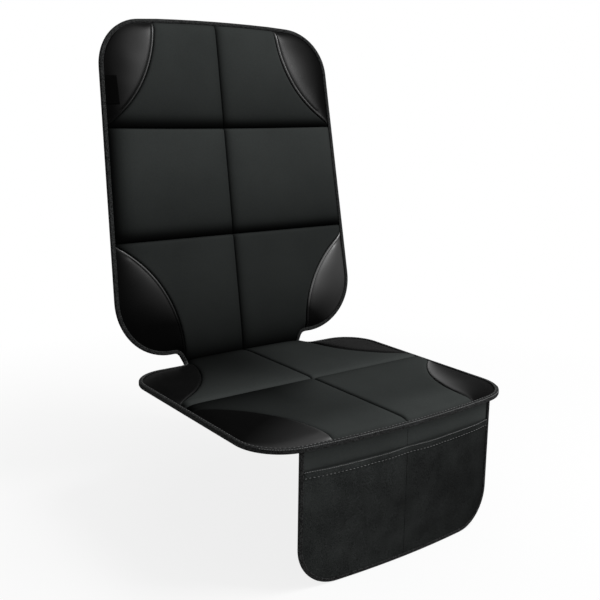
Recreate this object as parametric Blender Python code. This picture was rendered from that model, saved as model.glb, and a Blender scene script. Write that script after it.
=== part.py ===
"""Car seat protector mat: quilted back and seat, leatherette corners, edge tape, and a flap with pockets.

Frame: metres, +Z up. The seat lies flat with its front towards -Y and its underside at Z = 0. The origin is
on that underside, below the crossing of the seat's seams. The back rises from the fold and leans towards +Y.
"""
import math

import bmesh
import bpy
from mathutils import Matrix, Vector

# Driving dimensions, in metres and degrees
BACK_HEIGHT = 0.591          # fold to the middle of the top edge
BACK_TOP_WIDTH = 0.453
BACK_FOOT_WIDTH = 0.493
BACK_TOP_RISE = 0.012        # the top edge is arched by this much
BACK_TOP_RADIUS = 0.086
BACK_FOOT_RADIUS = 0.097
BACK_FOOT_LIFT = 0.0205      # foot corners stand this far above the fold
RECLINE = 9.5                # lean of the back from upright
DISH = 0.0172                # side edges of the back stand forward of its middle by this much

SEAT_DEPTH = 0.446           # fold to the middle of the front edge
SEAT_WIDTH = 0.482
SEAT_FRONT_BOW = 0.0205      # the front edge is bowed by this much
SEAT_FRONT_RADIUS = 0.072
SEAT_REAR_RADIUS = 0.063
SEAT_REAR_NOTCH = 0.0293     # rear corners stop this far in front of the fold

WAIST_WIDTH = 0.242          # sewn width across the fold
NOTCH_RUN = 0.010            # sideways run of each notch's slanted edge
NOTCH_RADIUS = 0.012

LOWER_ROW = 0.2156           # fold to the lower seam across the back
MIDDLE_ROW = 0.188           # lower seam to the upper seam across the back
SEAT_REAR_ROW = 0.2146       # fold to the seam across the seat

PAD_TOP = 0.0105             # underside of the mat to the top of a quilted cell
PATCH_TOP = 0.0115           # the leatherette corners stand a little prouder
RIM_TOP = 0.0060             # the padding is pressed down to this at the edge
SEAM_TOP = 0.0062            # and to this along a seam
SEAM_CORE = 0.0025           # half width of the tight part of a seam's channel
SEAM_REACH = 0.0100          # half width of the whole channel
WALL_SHARE = 0.65            # part of a seam's depth that its sloped walls take
WALL_CURVE = 1.5             # how much steeper those walls are near the seam
RIM_SLOPE = 0.0110           # width of the slope from rim to full height
UNDERSIDE_SLOPE = 0.0033     # width of the slope from rim to the flat underside
LINING_THICKNESS = 0.0010
CLEARANCE = 0.0003           # air between pieces that are sewn or laid together

# Seam arcs of the corners: radius, centre outside the panel's widest side edge, and centre along the panel
TOP_PATCH_RADIUS = 0.208
TOP_PATCH_OUT = 0.0835
TOP_PATCH_DROP = 0.003       # below the middle of the top edge
FOOT_PATCH_RADIUS = 0.2135
FOOT_PATCH_OUT = 0.096
FOOT_PATCH_RISE = 0.002      # above the foot corners' edge
FOOT_PATCH_SHIFT = 0.010     # both foot arcs are sewn this far to the right
REAR_PATCH_RADIUS = 0.211
REAR_PATCH_OUT = 0.092
REAR_PATCH_IN = 0.0158       # behind the rear corners' edge
FRONT_PATCH_RADIUS = 0.215
FRONT_PATCH_OUT = 0.109
FRONT_PATCH_IN = 0.0055      # behind the front corners' edge
FRONT_PATCH_SHIFT = 0.006    # both front arcs are sewn this far to the right

TAPE_THICKNESS = 0.0012
TAPE_LIP = 0.0080            # width of edge tape folded over the mat, above and below

FLAP_WIDTH = 0.364
FLAP_HEIGHT = 0.200
FLAP_RADIUS = 0.060
FLAP_THICKNESS = 0.0012
FLAP_SETBACK = 0.0040        # front face of the flap behind the seat's front edge
FLAP_TAPE_THICKNESS = 0.0008
FLAP_TAPE_LIP = 0.0070
POCKET_DROP = 0.029          # top of the flap to the pockets' mouth
POCKET_THICKNESS = 0.0008
POCKET_BELLY = 0.0090        # how far an empty pocket stands off the flap
POCKET_SHOULDER = 0.030      # sideways run from a pocket's seam to its full belly
POCKET_STRAIGHT = 0.060      # depth over which a pocket keeps its full belly
DIVIDER_WIDTH = 0.005        # flat strip between the two pockets
HEM_HEIGHT = 0.010
HEM_THICKNESS = 0.0008

LABEL_WIDTH = 0.026
LABEL_HEIGHT = 0.047
LABEL_THICKNESS = 0.0008
LABEL_MIDDLE = 0.4653        # fold to the middle of the label tab
LABEL_CLEARANCE = 0.0006     # air between the label tab and the patch under it

# How finely round edges and bent panels are divided
ARC_STEP = 12.0              # degrees of turn for each side of a round stretch
BOW_SIDES = 6                # stretches from the middle of a bowed edge to its corner
FILLET_ROOM = 0.98           # part of a side that a corner's round may take
DISC_SEGMENTS = 72
FACET_WIDTH = 0.034
POCKET_GRID = 0.011
CUT_MARGIN = 0.030           # how far a cutter reaches past what it cuts
CEILING_SPARE = 0.002        # how far an uncut pad reaches above its finished top
FOLD_OVERRUN = 0.060         # how far an uncut panel reaches past the fold
TOUCHING = 1e-6              # points nearer than this are the same point
SHARP_ANGLE = 30.0           # edges that turn by more stay sharp

ROOT = "car_seat_protector_mat"


def clear_scene():
    """Remove every object of the start scene."""
    for item in list(bpy.data.objects):
        bpy.data.objects.remove(item, do_unlink=True)


def finish(name, colour, roughness):
    """Make a plain material with the colour and roughness of one cloth."""
    material = bpy.data.materials.new(name)
    material.use_nodes = True
    shader = material.node_tree.nodes["Principled BSDF"]
    shader.inputs["Base Color"].default_value = (*colour, 1.0)
    shader.inputs["Roughness"].default_value = roughness
    shader.inputs["Metallic"].default_value = 0.0
    return material


def fillet(corners):
    """Round a chain of (x, y, radius) corners and return its points; a radius is limited by its sides."""
    points = [Vector(corners[0][:2])]
    used = 0.0
    for before, corner, after in zip(corners, corners[1:], corners[2:]):
        tip = Vector(corner[:2])
        into = Vector(before[:2]) - tip
        out = Vector(after[:2]) - tip
        turn = math.pi - into.angle(out)
        room = min(into.length - used, out.length) * FILLET_ROOM
        tangent = min(corner[2] * math.tan(turn / 2.0), room)
        used = tangent
        if tangent < CLEARANCE:
            points.append(tip)
            continue
        radius = tangent / math.tan(turn / 2.0)
        into.normalize()
        out.normalize()
        centre = tip + (into + out).normalized() * (radius / math.cos(turn / 2.0))
        start = tip + into * tangent - centre
        side = 1.0 if into.cross(out) < 0.0 else -1.0
        steps = max(2, round(math.degrees(turn) / ARC_STEP))
        for index in range(steps + 1):
            spoke = start.copy()
            spoke.rotate(Matrix.Rotation(side * turn * index / steps, 2))
            points.append(centre + spoke)
    points.append(Vector(corners[-1][:2]))
    return points


def bow_shares(side, radius):
    """Shares of a bowed edge's half width at which its points lie, up to where the corner starts to turn."""
    shares = [index / BOW_SIDES for index in range(BOW_SIDES)]
    return [share for share in shares if side * share < side - radius]


def closed_outline(right_half):
    """Close the right half of an outline, from bottom middle to top middle, with its mirror image."""
    left_half = [Vector((-point.x, point.y)) for point in reversed(right_half[1:-1])]
    return right_half + left_half


def back_outline():
    """Outline of the back in its own plane, x across and y up from the fold."""
    waist = WAIST_WIDTH / 2.0
    top_side = BACK_TOP_WIDTH / 2.0
    corners = [
        (0.0, -FOLD_OVERRUN, 0.0),
        (waist, -FOLD_OVERRUN, 0.0),
        (waist, 0.0, 0.0),
        (waist + NOTCH_RUN, BACK_FOOT_LIFT, NOTCH_RADIUS),
        (BACK_FOOT_WIDTH / 2.0, BACK_FOOT_LIFT, BACK_FOOT_RADIUS),
        (top_side, BACK_HEIGHT - BACK_TOP_RISE, BACK_TOP_RADIUS),
    ]
    for share in reversed(bow_shares(top_side, BACK_TOP_RADIUS)):
        corners.append((top_side * share, BACK_HEIGHT - BACK_TOP_RISE * share**2, 0.0))
    return closed_outline(fillet(corners))


def front_edge(x):
    """Y of the seat's front edge at x."""
    return -SEAT_DEPTH + SEAT_FRONT_BOW * (2.0 * x / SEAT_WIDTH) ** 2


def seat_outline():
    """Outline of the seat from above, with its front towards -Y."""
    waist = WAIST_WIDTH / 2.0
    side = SEAT_WIDTH / 2.0
    shares = bow_shares(side, SEAT_FRONT_RADIUS)
    corners = [(side * share, front_edge(side * share), 0.0) for share in shares]
    corners += [
        (side, front_edge(side), SEAT_FRONT_RADIUS),
        (side, -SEAT_REAR_NOTCH, SEAT_REAR_RADIUS),
        (waist + NOTCH_RUN, -SEAT_REAR_NOTCH, NOTCH_RADIUS),
        (waist, 0.0, 0.0),
        (waist, FOLD_OVERRUN, 0.0),
        (0.0, FOLD_OVERRUN, 0.0),
    ]
    return closed_outline(fillet(corners))


def flap_outline():
    """Outline of the flap in its own plane, x across and y up from the flap's top edge."""
    side = FLAP_WIDTH / 2.0
    corners = [
        (0.0, -FLAP_HEIGHT, 0.0),
        (side, -FLAP_HEIGHT, FLAP_RADIUS),
        (side, FOLD_OVERRUN, 0.0),
        (0.0, FOLD_OVERRUN, 0.0),
    ]
    return closed_outline(fillet(corners))


def terraced_slab(outline, inset, underside, top):
    """Closed slab over an outline that is moved inwards by inset.

    underside and top each start with the height at the rim and then list (width, rise) steps inwards.
    """
    bm = bmesh.new()
    rim = [bm.verts.new((point.x, point.y, underside[0])) for point in outline]
    floor = bm.faces.new(rim)
    bmesh.ops.recalc_face_normals(bm, faces=[floor])
    if inset > 0.0:
        bmesh.ops.inset_region(bm, faces=[floor], thickness=inset, use_boundary=True, use_even_offset=True)
        outer = [face for face in bm.faces if face is not floor]
        bmesh.ops.delete(bm, geom=outer, context="FACES")
    raised = bmesh.ops.extrude_face_region(bm, geom=[floor], use_keep_orig=True)
    roof = next(item for item in raised["geom"] if isinstance(item, bmesh.types.BMFace))
    bmesh.ops.translate(bm, verts=roof.verts[:], vec=(0.0, 0.0, top[0] - underside[0]))
    for face, steps in ((floor, underside[1:]), (roof, top[1:])):
        for width, rise in steps:
            bmesh.ops.inset_region(bm, faces=[face], thickness=width, use_boundary=True, use_even_offset=True)
            bmesh.ops.translate(bm, verts=face.verts[:], vec=(0.0, 0.0, rise))
    bmesh.ops.recalc_face_normals(bm, faces=bm.faces[:])
    return to_mesh(bm)


def turned_disc(centre, profile):
    """Solid turned from a (radius, z) profile about an upright axis through centre."""
    bm = bmesh.new()
    points = [bm.verts.new((centre.x + radius, centre.y, z)) for radius, z in profile]
    edges = [bm.edges.new(pair) for pair in zip(points, points[1:])]
    bmesh.ops.spin(
        bm,
        geom=points + edges,
        cent=(centre.x, centre.y, 0.0),
        axis=(0.0, 0.0, 1.0),
        angle=math.tau,
        steps=DISC_SEGMENTS,
        use_merge=True,
    )
    bmesh.ops.remove_doubles(bm, verts=bm.verts[:], dist=TOUCHING)
    bmesh.ops.recalc_face_normals(bm, faces=bm.faces[:])
    return to_mesh(bm)


def to_mesh(bm):
    """Turn a bmesh into mesh data and free it."""
    mesh = bpy.data.meshes.new("work")
    bm.to_mesh(mesh)
    bm.free()
    return mesh


def seam_sink(distance):
    """How far the cloth sinks at a distance from a seam."""
    depth = PAD_TOP - SEAM_TOP
    if distance >= SEAM_REACH:
        return 0.0
    if distance <= SEAM_CORE:
        return depth * (1.0 - (1.0 - WALL_SHARE) * distance / SEAM_CORE)
    return WALL_SHARE * depth * ((SEAM_REACH - distance) / (SEAM_REACH - SEAM_CORE)) ** WALL_CURVE


def seam_lines(seams, low, high):
    """Grid lines from low to high that follow each seam's channel."""
    middle = (SEAM_CORE + SEAM_REACH) / 2.0
    offsets = (-SEAM_REACH, -middle, -SEAM_CORE, 0.0, SEAM_CORE, middle, SEAM_REACH)
    lines = [seam + offset for seam in seams for offset in offsets]
    return [low] + sorted(line for line in lines if low < line < high) + [high]


def height_block(columns, rows, low, high):
    """Closed body over a grid of x columns and y rows, between the heights low(x, y) and high(x, y)."""
    bm = bmesh.new()
    bmesh.ops.create_grid(bm, x_segments=len(columns) - 1, y_segments=len(rows) - 1, size=0.5)
    for vert in bm.verts:
        column = round((vert.co.x + 0.5) * (len(columns) - 1))
        row = round((vert.co.y + 0.5) * (len(rows) - 1))
        x, y = columns[column], rows[row]
        vert.co = (x, y, high(x, y))
    bmesh.ops.triangulate(bm, faces=bm.faces[:])
    below = bmesh.ops.extrude_face_region(bm, geom=bm.faces[:], use_keep_orig=True)
    for item in below["geom"]:
        if isinstance(item, bmesh.types.BMVert):
            item.co.z = low(item.co.x, item.co.y)
    bmesh.ops.recalc_face_normals(bm, faces=bm.faces[:])
    return to_mesh(bm)


def quilted_block(across, along, half_width, low, high):
    """Block whose top has the channels of seams at each x in across and each y in along."""

    def cloth(x, y):
        sinks = [seam_sink(abs(x - seam)) for seam in across] + [seam_sink(abs(y - seam)) for seam in along]
        return PAD_TOP - max(sinks)

    columns = seam_lines(across, -half_width, half_width)
    rows = seam_lines(along, low, high)
    return height_block(columns, rows, lambda x, y: -CUT_MARGIN, cloth)


def carve(mesh, operation, tool):
    """Return mesh after one Boolean with tool."""
    body = bpy.data.objects.new("body", mesh)
    cutter = bpy.data.objects.new("cutter", tool)
    for item in (body, cutter):
        bpy.context.scene.collection.objects.link(item)
    modifier = body.modifiers.new("carve", "BOOLEAN")
    modifier.operation = operation
    modifier.object = cutter
    graph = bpy.context.evaluated_depsgraph_get()
    result = bpy.data.meshes.new_from_object(body.evaluated_get(graph))
    for item in (body, cutter):
        bpy.data.objects.remove(item, do_unlink=True)
    return result


def trim(mesh, point, normal):
    """Cut away what lies on the side that normal points to, and close the cut."""
    bm = bmesh.new()
    bm.from_mesh(mesh)
    parts = bm.verts[:] + bm.edges[:] + bm.faces[:]
    cut = bmesh.ops.bisect_plane(
        bm,
        geom=parts,
        dist=TOUCHING,
        plane_co=point,
        plane_no=normal,
        clear_outer=True,
    )
    edges = [item for item in cut["geom_cut"] if isinstance(item, bmesh.types.BMEdge)]
    bmesh.ops.holes_fill(bm, edges=edges)
    bmesh.ops.recalc_face_normals(bm, faces=bm.faces[:])
    return to_mesh(bm)


def facet_lines(half_width):
    """X of the fold lines that divide a bent panel into flat facets."""
    count = math.ceil(half_width / FACET_WIDTH)
    return [half_width * index / count for index in range(-count + 1, count)]


def bend(mesh, half_width, shape):
    """Divide a panel at its facet lines and lift each point by shape(x), straight between the lines."""
    lines = facet_lines(half_width)
    pitch = lines[1] - lines[0]
    bm = bmesh.new()
    bm.from_mesh(mesh)
    for line in lines:
        parts = bm.verts[:] + bm.edges[:] + bm.faces[:]
        point = (line, 0.0, 0.0)
        bmesh.ops.bisect_plane(bm, geom=parts, dist=TOUCHING, plane_co=point, plane_no=(1.0, 0.0, 0.0))
    for vert in bm.verts:
        start = math.floor((vert.co.x + TOUCHING) / pitch) * pitch
        share = (vert.co.x - start) / pitch
        vert.co.z += shape(start) * (1.0 - share) + shape(start + pitch) * share
    return to_mesh(bm)


def seat_follow(mesh):
    """Draw the seat's rear forward where the dished back stands on it."""
    bm = bmesh.new()
    bm.from_mesh(mesh)
    for vert in bm.verts:
        if vert.co.y > -SEAT_REAR_NOTCH:
            share = 1.0 - max(0.0, -vert.co.y) / SEAT_REAR_NOTCH
            vert.co.y -= dish(vert.co.x) * share
    return to_mesh(bm)


def dish(x):
    """How far the back stands forward at x."""
    return DISH * (2.0 * x / BACK_FOOT_WIDTH) ** 2


def flap_bow(x):
    """How far the flap stands behind its middle at x, after the seat's front edge."""
    return -(front_edge(x) + SEAT_DEPTH)


def half_fold():
    """Half the angle between the seat and the back."""
    return (math.pi / 2.0 + math.radians(RECLINE)) / 2.0


def fold_seam():
    """How far from the fold of the underside the seam in the crease lies on top."""
    return SEAM_TOP / math.tan(half_fold())


def fold_trim(mesh, frame, side):
    """Mitre a panel on the plane that halves the angle; side is 1 to keep the back, -1 for the seat."""
    normal = Vector((0.0, -math.sin(half_fold()), -math.cos(half_fold()))) * side
    turned = frame.to_3x3().inverted() @ normal
    point = frame.inverted() @ (normal * (-CLEARANCE / 2.0))
    return trim(mesh, point, turned)


def add_node(name, mesh, frame, material, collection):
    """Put a finished mesh into the collection as one named node."""
    bm = bmesh.new()
    bm.from_mesh(mesh)
    bmesh.ops.triangulate(bm, faces=bm.faces[:])
    bm.to_mesh(mesh)
    bm.free()
    mesh.name = name
    mesh.materials.clear()
    mesh.materials.append(material)
    mesh.shade_smooth()
    mesh.set_sharp_from_angle(angle=math.radians(SHARP_ANGLE))
    node = bpy.data.objects.new(name, mesh)
    node.matrix_world = frame
    collection.objects.link(node)
    return node


def rim_levels():
    """Heights of lining and padding at the rim, where the edge tape holds them."""
    lining_low = TAPE_THICKNESS + CLEARANCE
    pad_low = lining_low + LINING_THICKNESS + CLEARANCE
    return lining_low, pad_low


def lining_slab(outline):
    """Thin non-slip sheet under a panel, lifted at its rim so that the tape lies flush."""
    low, _ = rim_levels()
    hidden = TAPE_LIP + CLEARANCE
    steps = [(hidden - TAPE_THICKNESS, 0.0), (UNDERSIDE_SLOPE, -low)]
    edge = TAPE_THICKNESS + CLEARANCE
    return terraced_slab(outline, edge, [low] + steps, [low + LINING_THICKNESS] + steps)


def pad_envelope(outline, full_height, ceiling):
    """Padding under its cover: thin at the rim, sloping through full height up to the ceiling."""
    low, pad_low = rim_levels()
    hidden = TAPE_LIP + CLEARANCE
    edge = TAPE_THICKNESS + CLEARANCE
    rise = ceiling - RIM_TOP
    run = RIM_SLOPE * rise / (full_height - RIM_TOP)
    underside = [pad_low, (hidden - TAPE_THICKNESS, 0.0), (UNDERSIDE_SLOPE, -low)]
    top = [RIM_TOP, (hidden - TAPE_THICKNESS, 0.0), (run, rise)]
    return terraced_slab(outline, edge, underside, top)


def edge_tape(outline, height, thickness, lip):
    """Tape folded over the edge: a U section that follows the outline."""
    ring = terraced_slab(outline, 0.0, [0.0], [height])
    window = terraced_slab(outline, thickness + lip, [-CUT_MARGIN], [CUT_MARGIN])
    slot = terraced_slab(outline, thickness, [thickness], [height - thickness])
    return carve(carve(ring, "DIFFERENCE", window), "DIFFERENCE", slot)


def mat_tape(outline):
    """Edge tape of the padded panels."""
    return edge_tape(outline, RIM_TOP + CLEARANCE + TAPE_THICKNESS, TAPE_THICKNESS, TAPE_LIP)


def patch_discs(centre, radius):
    """The solid that bounds a corner patch, and the cutter that makes room for it in the padding."""
    inner = radius - CLEARANCE / 2.0
    outer = radius + CLEARANCE / 2.0
    over = PATCH_TOP + CUT_MARGIN
    slope_end = inner - SEAM_REACH * (over - SEAM_TOP) / (PATCH_TOP - SEAM_TOP)
    flare_end = outer + SEAM_REACH * (over - SEAM_TOP) / (PAD_TOP - SEAM_TOP)
    bound = [(0.0, -CUT_MARGIN), (inner, -CUT_MARGIN), (inner, SEAM_TOP), (slope_end, over), (0.0, over)]
    cutter = [(0.0, -CUT_MARGIN), (outer, -CUT_MARGIN), (outer, SEAM_TOP), (flare_end, over), (0.0, over)]
    return turned_disc(centre, bound), turned_disc(centre, cutter)


def back_patch_arcs():
    """Centre and radius of the seam arc of each corner of the back."""
    top_out = BACK_FOOT_WIDTH / 2.0 + TOP_PATCH_OUT
    foot_out = BACK_FOOT_WIDTH / 2.0 + FOOT_PATCH_OUT
    top = BACK_HEIGHT - TOP_PATCH_DROP
    foot = BACK_FOOT_LIFT + FOOT_PATCH_RISE
    return {
        "upper_left": (Vector((-top_out, top)), TOP_PATCH_RADIUS),
        "upper_right": (Vector((top_out, top)), TOP_PATCH_RADIUS),
        "lower_left": (Vector((FOOT_PATCH_SHIFT - foot_out, foot)), FOOT_PATCH_RADIUS),
        "lower_right": (Vector((FOOT_PATCH_SHIFT + foot_out, foot)), FOOT_PATCH_RADIUS),
    }


def seat_patch_arcs():
    """Centre and radius of the seam arc of each corner of the seat."""
    rear_out = SEAT_WIDTH / 2.0 + REAR_PATCH_OUT
    front_out = SEAT_WIDTH / 2.0 + FRONT_PATCH_OUT
    rear = -SEAT_REAR_NOTCH + REAR_PATCH_IN
    front = front_edge(SEAT_WIDTH / 2.0) + FRONT_PATCH_IN
    return {
        "rear_left": (Vector((-rear_out, rear)), REAR_PATCH_RADIUS),
        "rear_right": (Vector((rear_out, rear)), REAR_PATCH_RADIUS),
        "front_left": (Vector((FRONT_PATCH_SHIFT - front_out, front)), FRONT_PATCH_RADIUS),
        "front_right": (Vector((FRONT_PATCH_SHIFT + front_out, front)), FRONT_PATCH_RADIUS),
    }


def quilted_pad(outline, quilt, arcs):
    """Padded panel with its channels, and the corner patches let into it."""
    envelope = pad_envelope(outline, PAD_TOP, PATCH_TOP + CEILING_SPARE)
    pad = carve(envelope, "INTERSECT", quilt)
    patches = {}
    for corner, (centre, radius) in arcs.items():
        bound, cutter = patch_discs(centre, radius)
        pad = carve(pad, "DIFFERENCE", cutter)
        patches[corner] = carve(pad_envelope(outline, PATCH_TOP, PATCH_TOP), "INTERSECT", bound)
    return pad, patches


def side_edge(height):
    """Half width of the back at a height between its corners."""
    low = BACK_FOOT_LIFT
    share = (height - low) / (BACK_HEIGHT - BACK_TOP_RISE - low)
    return (BACK_FOOT_WIDTH * (1.0 - share) + BACK_TOP_WIDTH * share) / 2.0


def label_mesh():
    """Small bare tab that lies on the left upper patch, from the edge tape inwards."""
    start = TAPE_THICKNESS + TAPE_LIP + CLEARANCE
    slope_end = start + RIM_SLOPE
    low = LABEL_MIDDLE - LABEL_HEIGHT / 2.0
    high = LABEL_MIDDLE + LABEL_HEIGHT / 2.0

    def patch_surface(x, y):
        share = min(max((x - start) / RIM_SLOPE, 0.0), 1.0)
        return RIM_TOP + (PATCH_TOP - RIM_TOP) * share + LABEL_CLEARANCE

    columns = sorted({start, slope_end, start + LABEL_WIDTH})
    rows = [low, high]
    mesh = height_block(columns, rows, patch_surface, lambda x, y: patch_surface(x, y) + LABEL_THICKNESS)
    for vert in mesh.vertices:
        vert.co.x -= side_edge(vert.co.y)
    return mesh


def build_back(materials, collection):
    """Model the back panel's pieces and fold them up."""
    fold = Matrix.Rotation(math.pi / 2.0 - math.radians(RECLINE), 4, "X")
    outline = back_outline()
    seams = [fold_seam(), LOWER_ROW, LOWER_ROW + MIDDLE_ROW]
    reach = BACK_FOOT_WIDTH / 2.0 + CUT_MARGIN
    quilt = quilted_block([0.0], seams, reach, -2.0 * FOLD_OVERRUN, BACK_HEIGHT + CUT_MARGIN)
    pad, patches = quilted_pad(outline, quilt, back_patch_arcs())
    pieces = {
        "back_pad": (pad, "cloth"),
        "back_lining": (lining_slab(outline), "lining"),
        "back_binding": (mat_tape(outline), "tape"),
        "label_tab": (label_mesh(), "label"),
    }
    for corner, mesh in patches.items():
        pieces[f"back_patch_{corner}"] = (mesh, "leatherette")
    for name, (mesh, slot) in pieces.items():
        bent = bend(fold_trim(mesh, fold, 1.0), BACK_FOOT_WIDTH / 2.0, dish)
        add_node(name, bent, seat_origin() @ fold, materials[slot], collection)


def build_seat(materials, collection):
    """Model the seat panel's pieces."""
    fold = Matrix.Identity(4)
    outline = seat_outline()
    seams = [-SEAT_REAR_ROW, -fold_seam()]
    reach = SEAT_WIDTH / 2.0 + CUT_MARGIN
    quilt = quilted_block([0.0], seams, reach, -SEAT_DEPTH - CUT_MARGIN, 2.0 * FOLD_OVERRUN)
    pad, patches = quilted_pad(outline, quilt, seat_patch_arcs())
    pieces = {
        "seat_pad": (pad, "cloth"),
        "seat_lining": (lining_slab(outline), "lining"),
        "seat_binding": (mat_tape(outline), "tape"),
    }
    for corner, mesh in patches.items():
        pieces[f"seat_patch_{corner}"] = (mesh, "leatherette")
    for name, (mesh, slot) in pieces.items():
        drawn = seat_follow(fold_trim(mesh, fold, -1.0))
        add_node(name, drawn, seat_origin() @ fold, materials[slot], collection)


def ease(share):
    """Smooth step from 0 to 1."""
    share = min(max(share, 0.0), 1.0)
    return share * share * (3.0 - 2.0 * share)


def pocket_rise(x, y):
    """How far the pocket cloth stands off the flap at a point of the flap's plane."""
    hidden = FLAP_TAPE_THICKNESS + FLAP_TAPE_LIP + POCKET_GRID
    radius = FLAP_RADIUS - hidden
    side = FLAP_WIDTH / 2.0 - hidden - abs(x)
    floor = y + FLAP_HEIGHT - hidden
    edge = min(side, floor)
    if side < radius and floor < radius:
        edge = radius - math.hypot(radius - side, radius - floor)
    seam = abs(x) - DIVIDER_WIDTH / 2.0
    taper = floor / (FLAP_HEIGHT - hidden - POCKET_DROP - POCKET_STRAIGHT)
    return POCKET_BELLY * ease(edge / POCKET_SHOULDER) * ease(seam / POCKET_SHOULDER) * ease(taper)


def even_lines(low, high, pitch):
    """Evenly spaced grid lines from low to high, at most a pitch apart."""
    count = math.ceil((high - low) / pitch)
    return [low + (high - low) * index / count for index in range(count + 1)]


def build_flap(materials, collection):
    """Model the flap that hangs from the seat's front edge, with its two pockets."""
    outline = flap_outline()
    side = FLAP_WIDTH / 2.0
    sheet_low = FLAP_TAPE_THICKNESS + CLEARANCE
    pocket_low = sheet_low + FLAP_THICKNESS + CLEARANCE
    pocket_top = pocket_low + POCKET_THICKNESS
    height = pocket_top + CLEARANCE + FLAP_TAPE_THICKNESS
    inset = FLAP_TAPE_THICKNESS + CLEARANCE
    sheet = terraced_slab(outline, inset, [sheet_low], [sheet_low + FLAP_THICKNESS])
    tape = edge_tape(outline, height, FLAP_TAPE_THICKNESS, FLAP_TAPE_LIP)

    mouth = -POCKET_DROP
    columns = even_lines(-side, side, POCKET_GRID)
    cloth = height_block(
        columns,
        even_lines(-FLAP_HEIGHT, mouth, POCKET_GRID),
        lambda x, y: pocket_low + pocket_rise(x, y),
        lambda x, y: pocket_top + pocket_rise(x, y),
    )
    bound = terraced_slab(outline, inset, [-CUT_MARGIN], [CUT_MARGIN])
    pocket = carve(cloth, "INTERSECT", bound)
    hem_side = side - FLAP_TAPE_THICKNESS - FLAP_TAPE_LIP - CLEARANCE
    hem = height_block(
        [-hem_side] + [x for x in columns if abs(x) < hem_side - CLEARANCE] + [hem_side],
        [mouth - HEM_HEIGHT, mouth],
        lambda x, y: pocket_top + CLEARANCE + pocket_rise(x, mouth),
        lambda x, y: pocket_top + CLEARANCE + HEM_THICKNESS + pocket_rise(x, mouth),
    )
    hang = Matrix.Rotation(math.pi / 2.0, 4, "X")
    hang.translation = (0.0, -SEAT_DEPTH + FLAP_SETBACK + height, -CLEARANCE)
    pieces = {
        "flap_sheet": (sheet, "cloth"),
        "flap_binding": (tape, "tape"),
        "pocket_panel": (pocket, "pocket"),
        "pocket_hem": (hem, "tape"),
    }
    for name, (mesh, slot) in pieces.items():
        cut = trim(mesh, Vector((0.0, 0.0, 0.0)), Vector((0.0, 1.0, 0.0)))
        bent = bend(cut, side, flap_bow)
        add_node(name, bent, seat_origin() @ hang, materials[slot], collection)


def seat_origin():
    """The origin lies under the crossing of the seat's seams, on the mat's underside."""
    return Matrix.Translation((0.0, SEAT_REAR_ROW, 0.0))


def main():
    """Build the whole mat."""
    clear_scene()
    collection = bpy.data.collections.new(ROOT)
    bpy.context.scene.collection.children.link(collection)
    materials = {
        "cloth": finish("cloth", (0.022, 0.023, 0.025), 0.85),
        "leatherette": finish("leatherette", (0.020, 0.020, 0.021), 0.45),
        "tape": finish("tape", (0.030, 0.031, 0.033), 0.80),
        "lining": finish("lining", (0.030, 0.030, 0.032), 0.90),
        "pocket": finish("pocket", (0.026, 0.027, 0.029), 0.80),
        "label": finish("label", (0.010, 0.010, 0.010), 0.60),
    }
    build_back(materials, collection)
    build_seat(materials, collection)
    build_flap(materials, collection)


if __name__ == "__main__":
    main()
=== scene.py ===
"""Looks of a car seat protector mat: quilted cloth, leatherette corners, edge tape and a pocket flap."""

import logging
import math
from collections.abc import Callable, Sequence
from dataclasses import dataclass, field, replace
from enum import Enum

import bmesh
import bpy
import numpy as np
from mathutils import Matrix, Vector, noise


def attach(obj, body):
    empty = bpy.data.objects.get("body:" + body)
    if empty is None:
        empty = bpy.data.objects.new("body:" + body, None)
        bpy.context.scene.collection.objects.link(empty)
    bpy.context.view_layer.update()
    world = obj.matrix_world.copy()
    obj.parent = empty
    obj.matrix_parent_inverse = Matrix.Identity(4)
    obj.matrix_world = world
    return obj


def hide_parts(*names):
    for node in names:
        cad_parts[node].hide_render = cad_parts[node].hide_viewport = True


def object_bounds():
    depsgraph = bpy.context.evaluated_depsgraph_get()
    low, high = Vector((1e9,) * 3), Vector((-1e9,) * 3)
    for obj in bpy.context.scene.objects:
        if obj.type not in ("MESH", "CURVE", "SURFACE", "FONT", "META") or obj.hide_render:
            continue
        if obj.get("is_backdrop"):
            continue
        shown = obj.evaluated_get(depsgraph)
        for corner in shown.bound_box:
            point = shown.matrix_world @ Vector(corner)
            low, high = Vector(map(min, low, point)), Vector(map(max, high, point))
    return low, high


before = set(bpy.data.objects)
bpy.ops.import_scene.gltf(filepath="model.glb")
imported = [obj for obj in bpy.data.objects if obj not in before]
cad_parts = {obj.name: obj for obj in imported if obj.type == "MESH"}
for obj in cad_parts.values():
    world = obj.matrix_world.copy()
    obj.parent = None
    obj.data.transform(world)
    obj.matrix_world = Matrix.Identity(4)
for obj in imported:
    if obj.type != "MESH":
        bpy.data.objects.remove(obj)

LOG = logging.getLogger("seat_mat")
BODY = "root"
UV_NAME = "cloth"
# The point attribute named here carries painted shade: darker colour beside the seams, at the fold, at the
# rims and across the cells, and on the leatherette corners wherever there is no painted sheen.
PAINTED_SHADE_NAME = "crease"
IMAGE_SIDE = 600
EDGE_PITCH = 0.004        # spacing of a tape's cross sections along an edge
TAPE_TURN = 0.0022        # largest radius of a folded tape's two outer bends
STITCH_INSET = 0.0018     # a tape's stitches lie this far outside its inner edge
ON_TAPE = 0.0001          # height of a thread over the tape or hem that it holds down
ON_CLOTH = 0.0002         # and over the softer cloth and leatherette
RAMP_STOPS = (0.36, 0.64)  # values of the mottle that are fully dark and fully light
PAINTED_SHADE_ROUGHNESS = 0.95
COAT_ROUGHNESS = 0.36
COAT_IOR = 1.9
GRAIN_SCALE = 700.0       # pebbles of the leatherette's grain for each metre
FLOOR_GAP = 0.0005        # air between the flap's foot and the floor
FLOOR_HALF = 6.0
FLOOR_COLOUR = (0.92, 0.92, 0.92, 1.0)

Point = tuple[float, float]
PointRule = Callable[[np.ndarray], np.ndarray]


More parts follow.
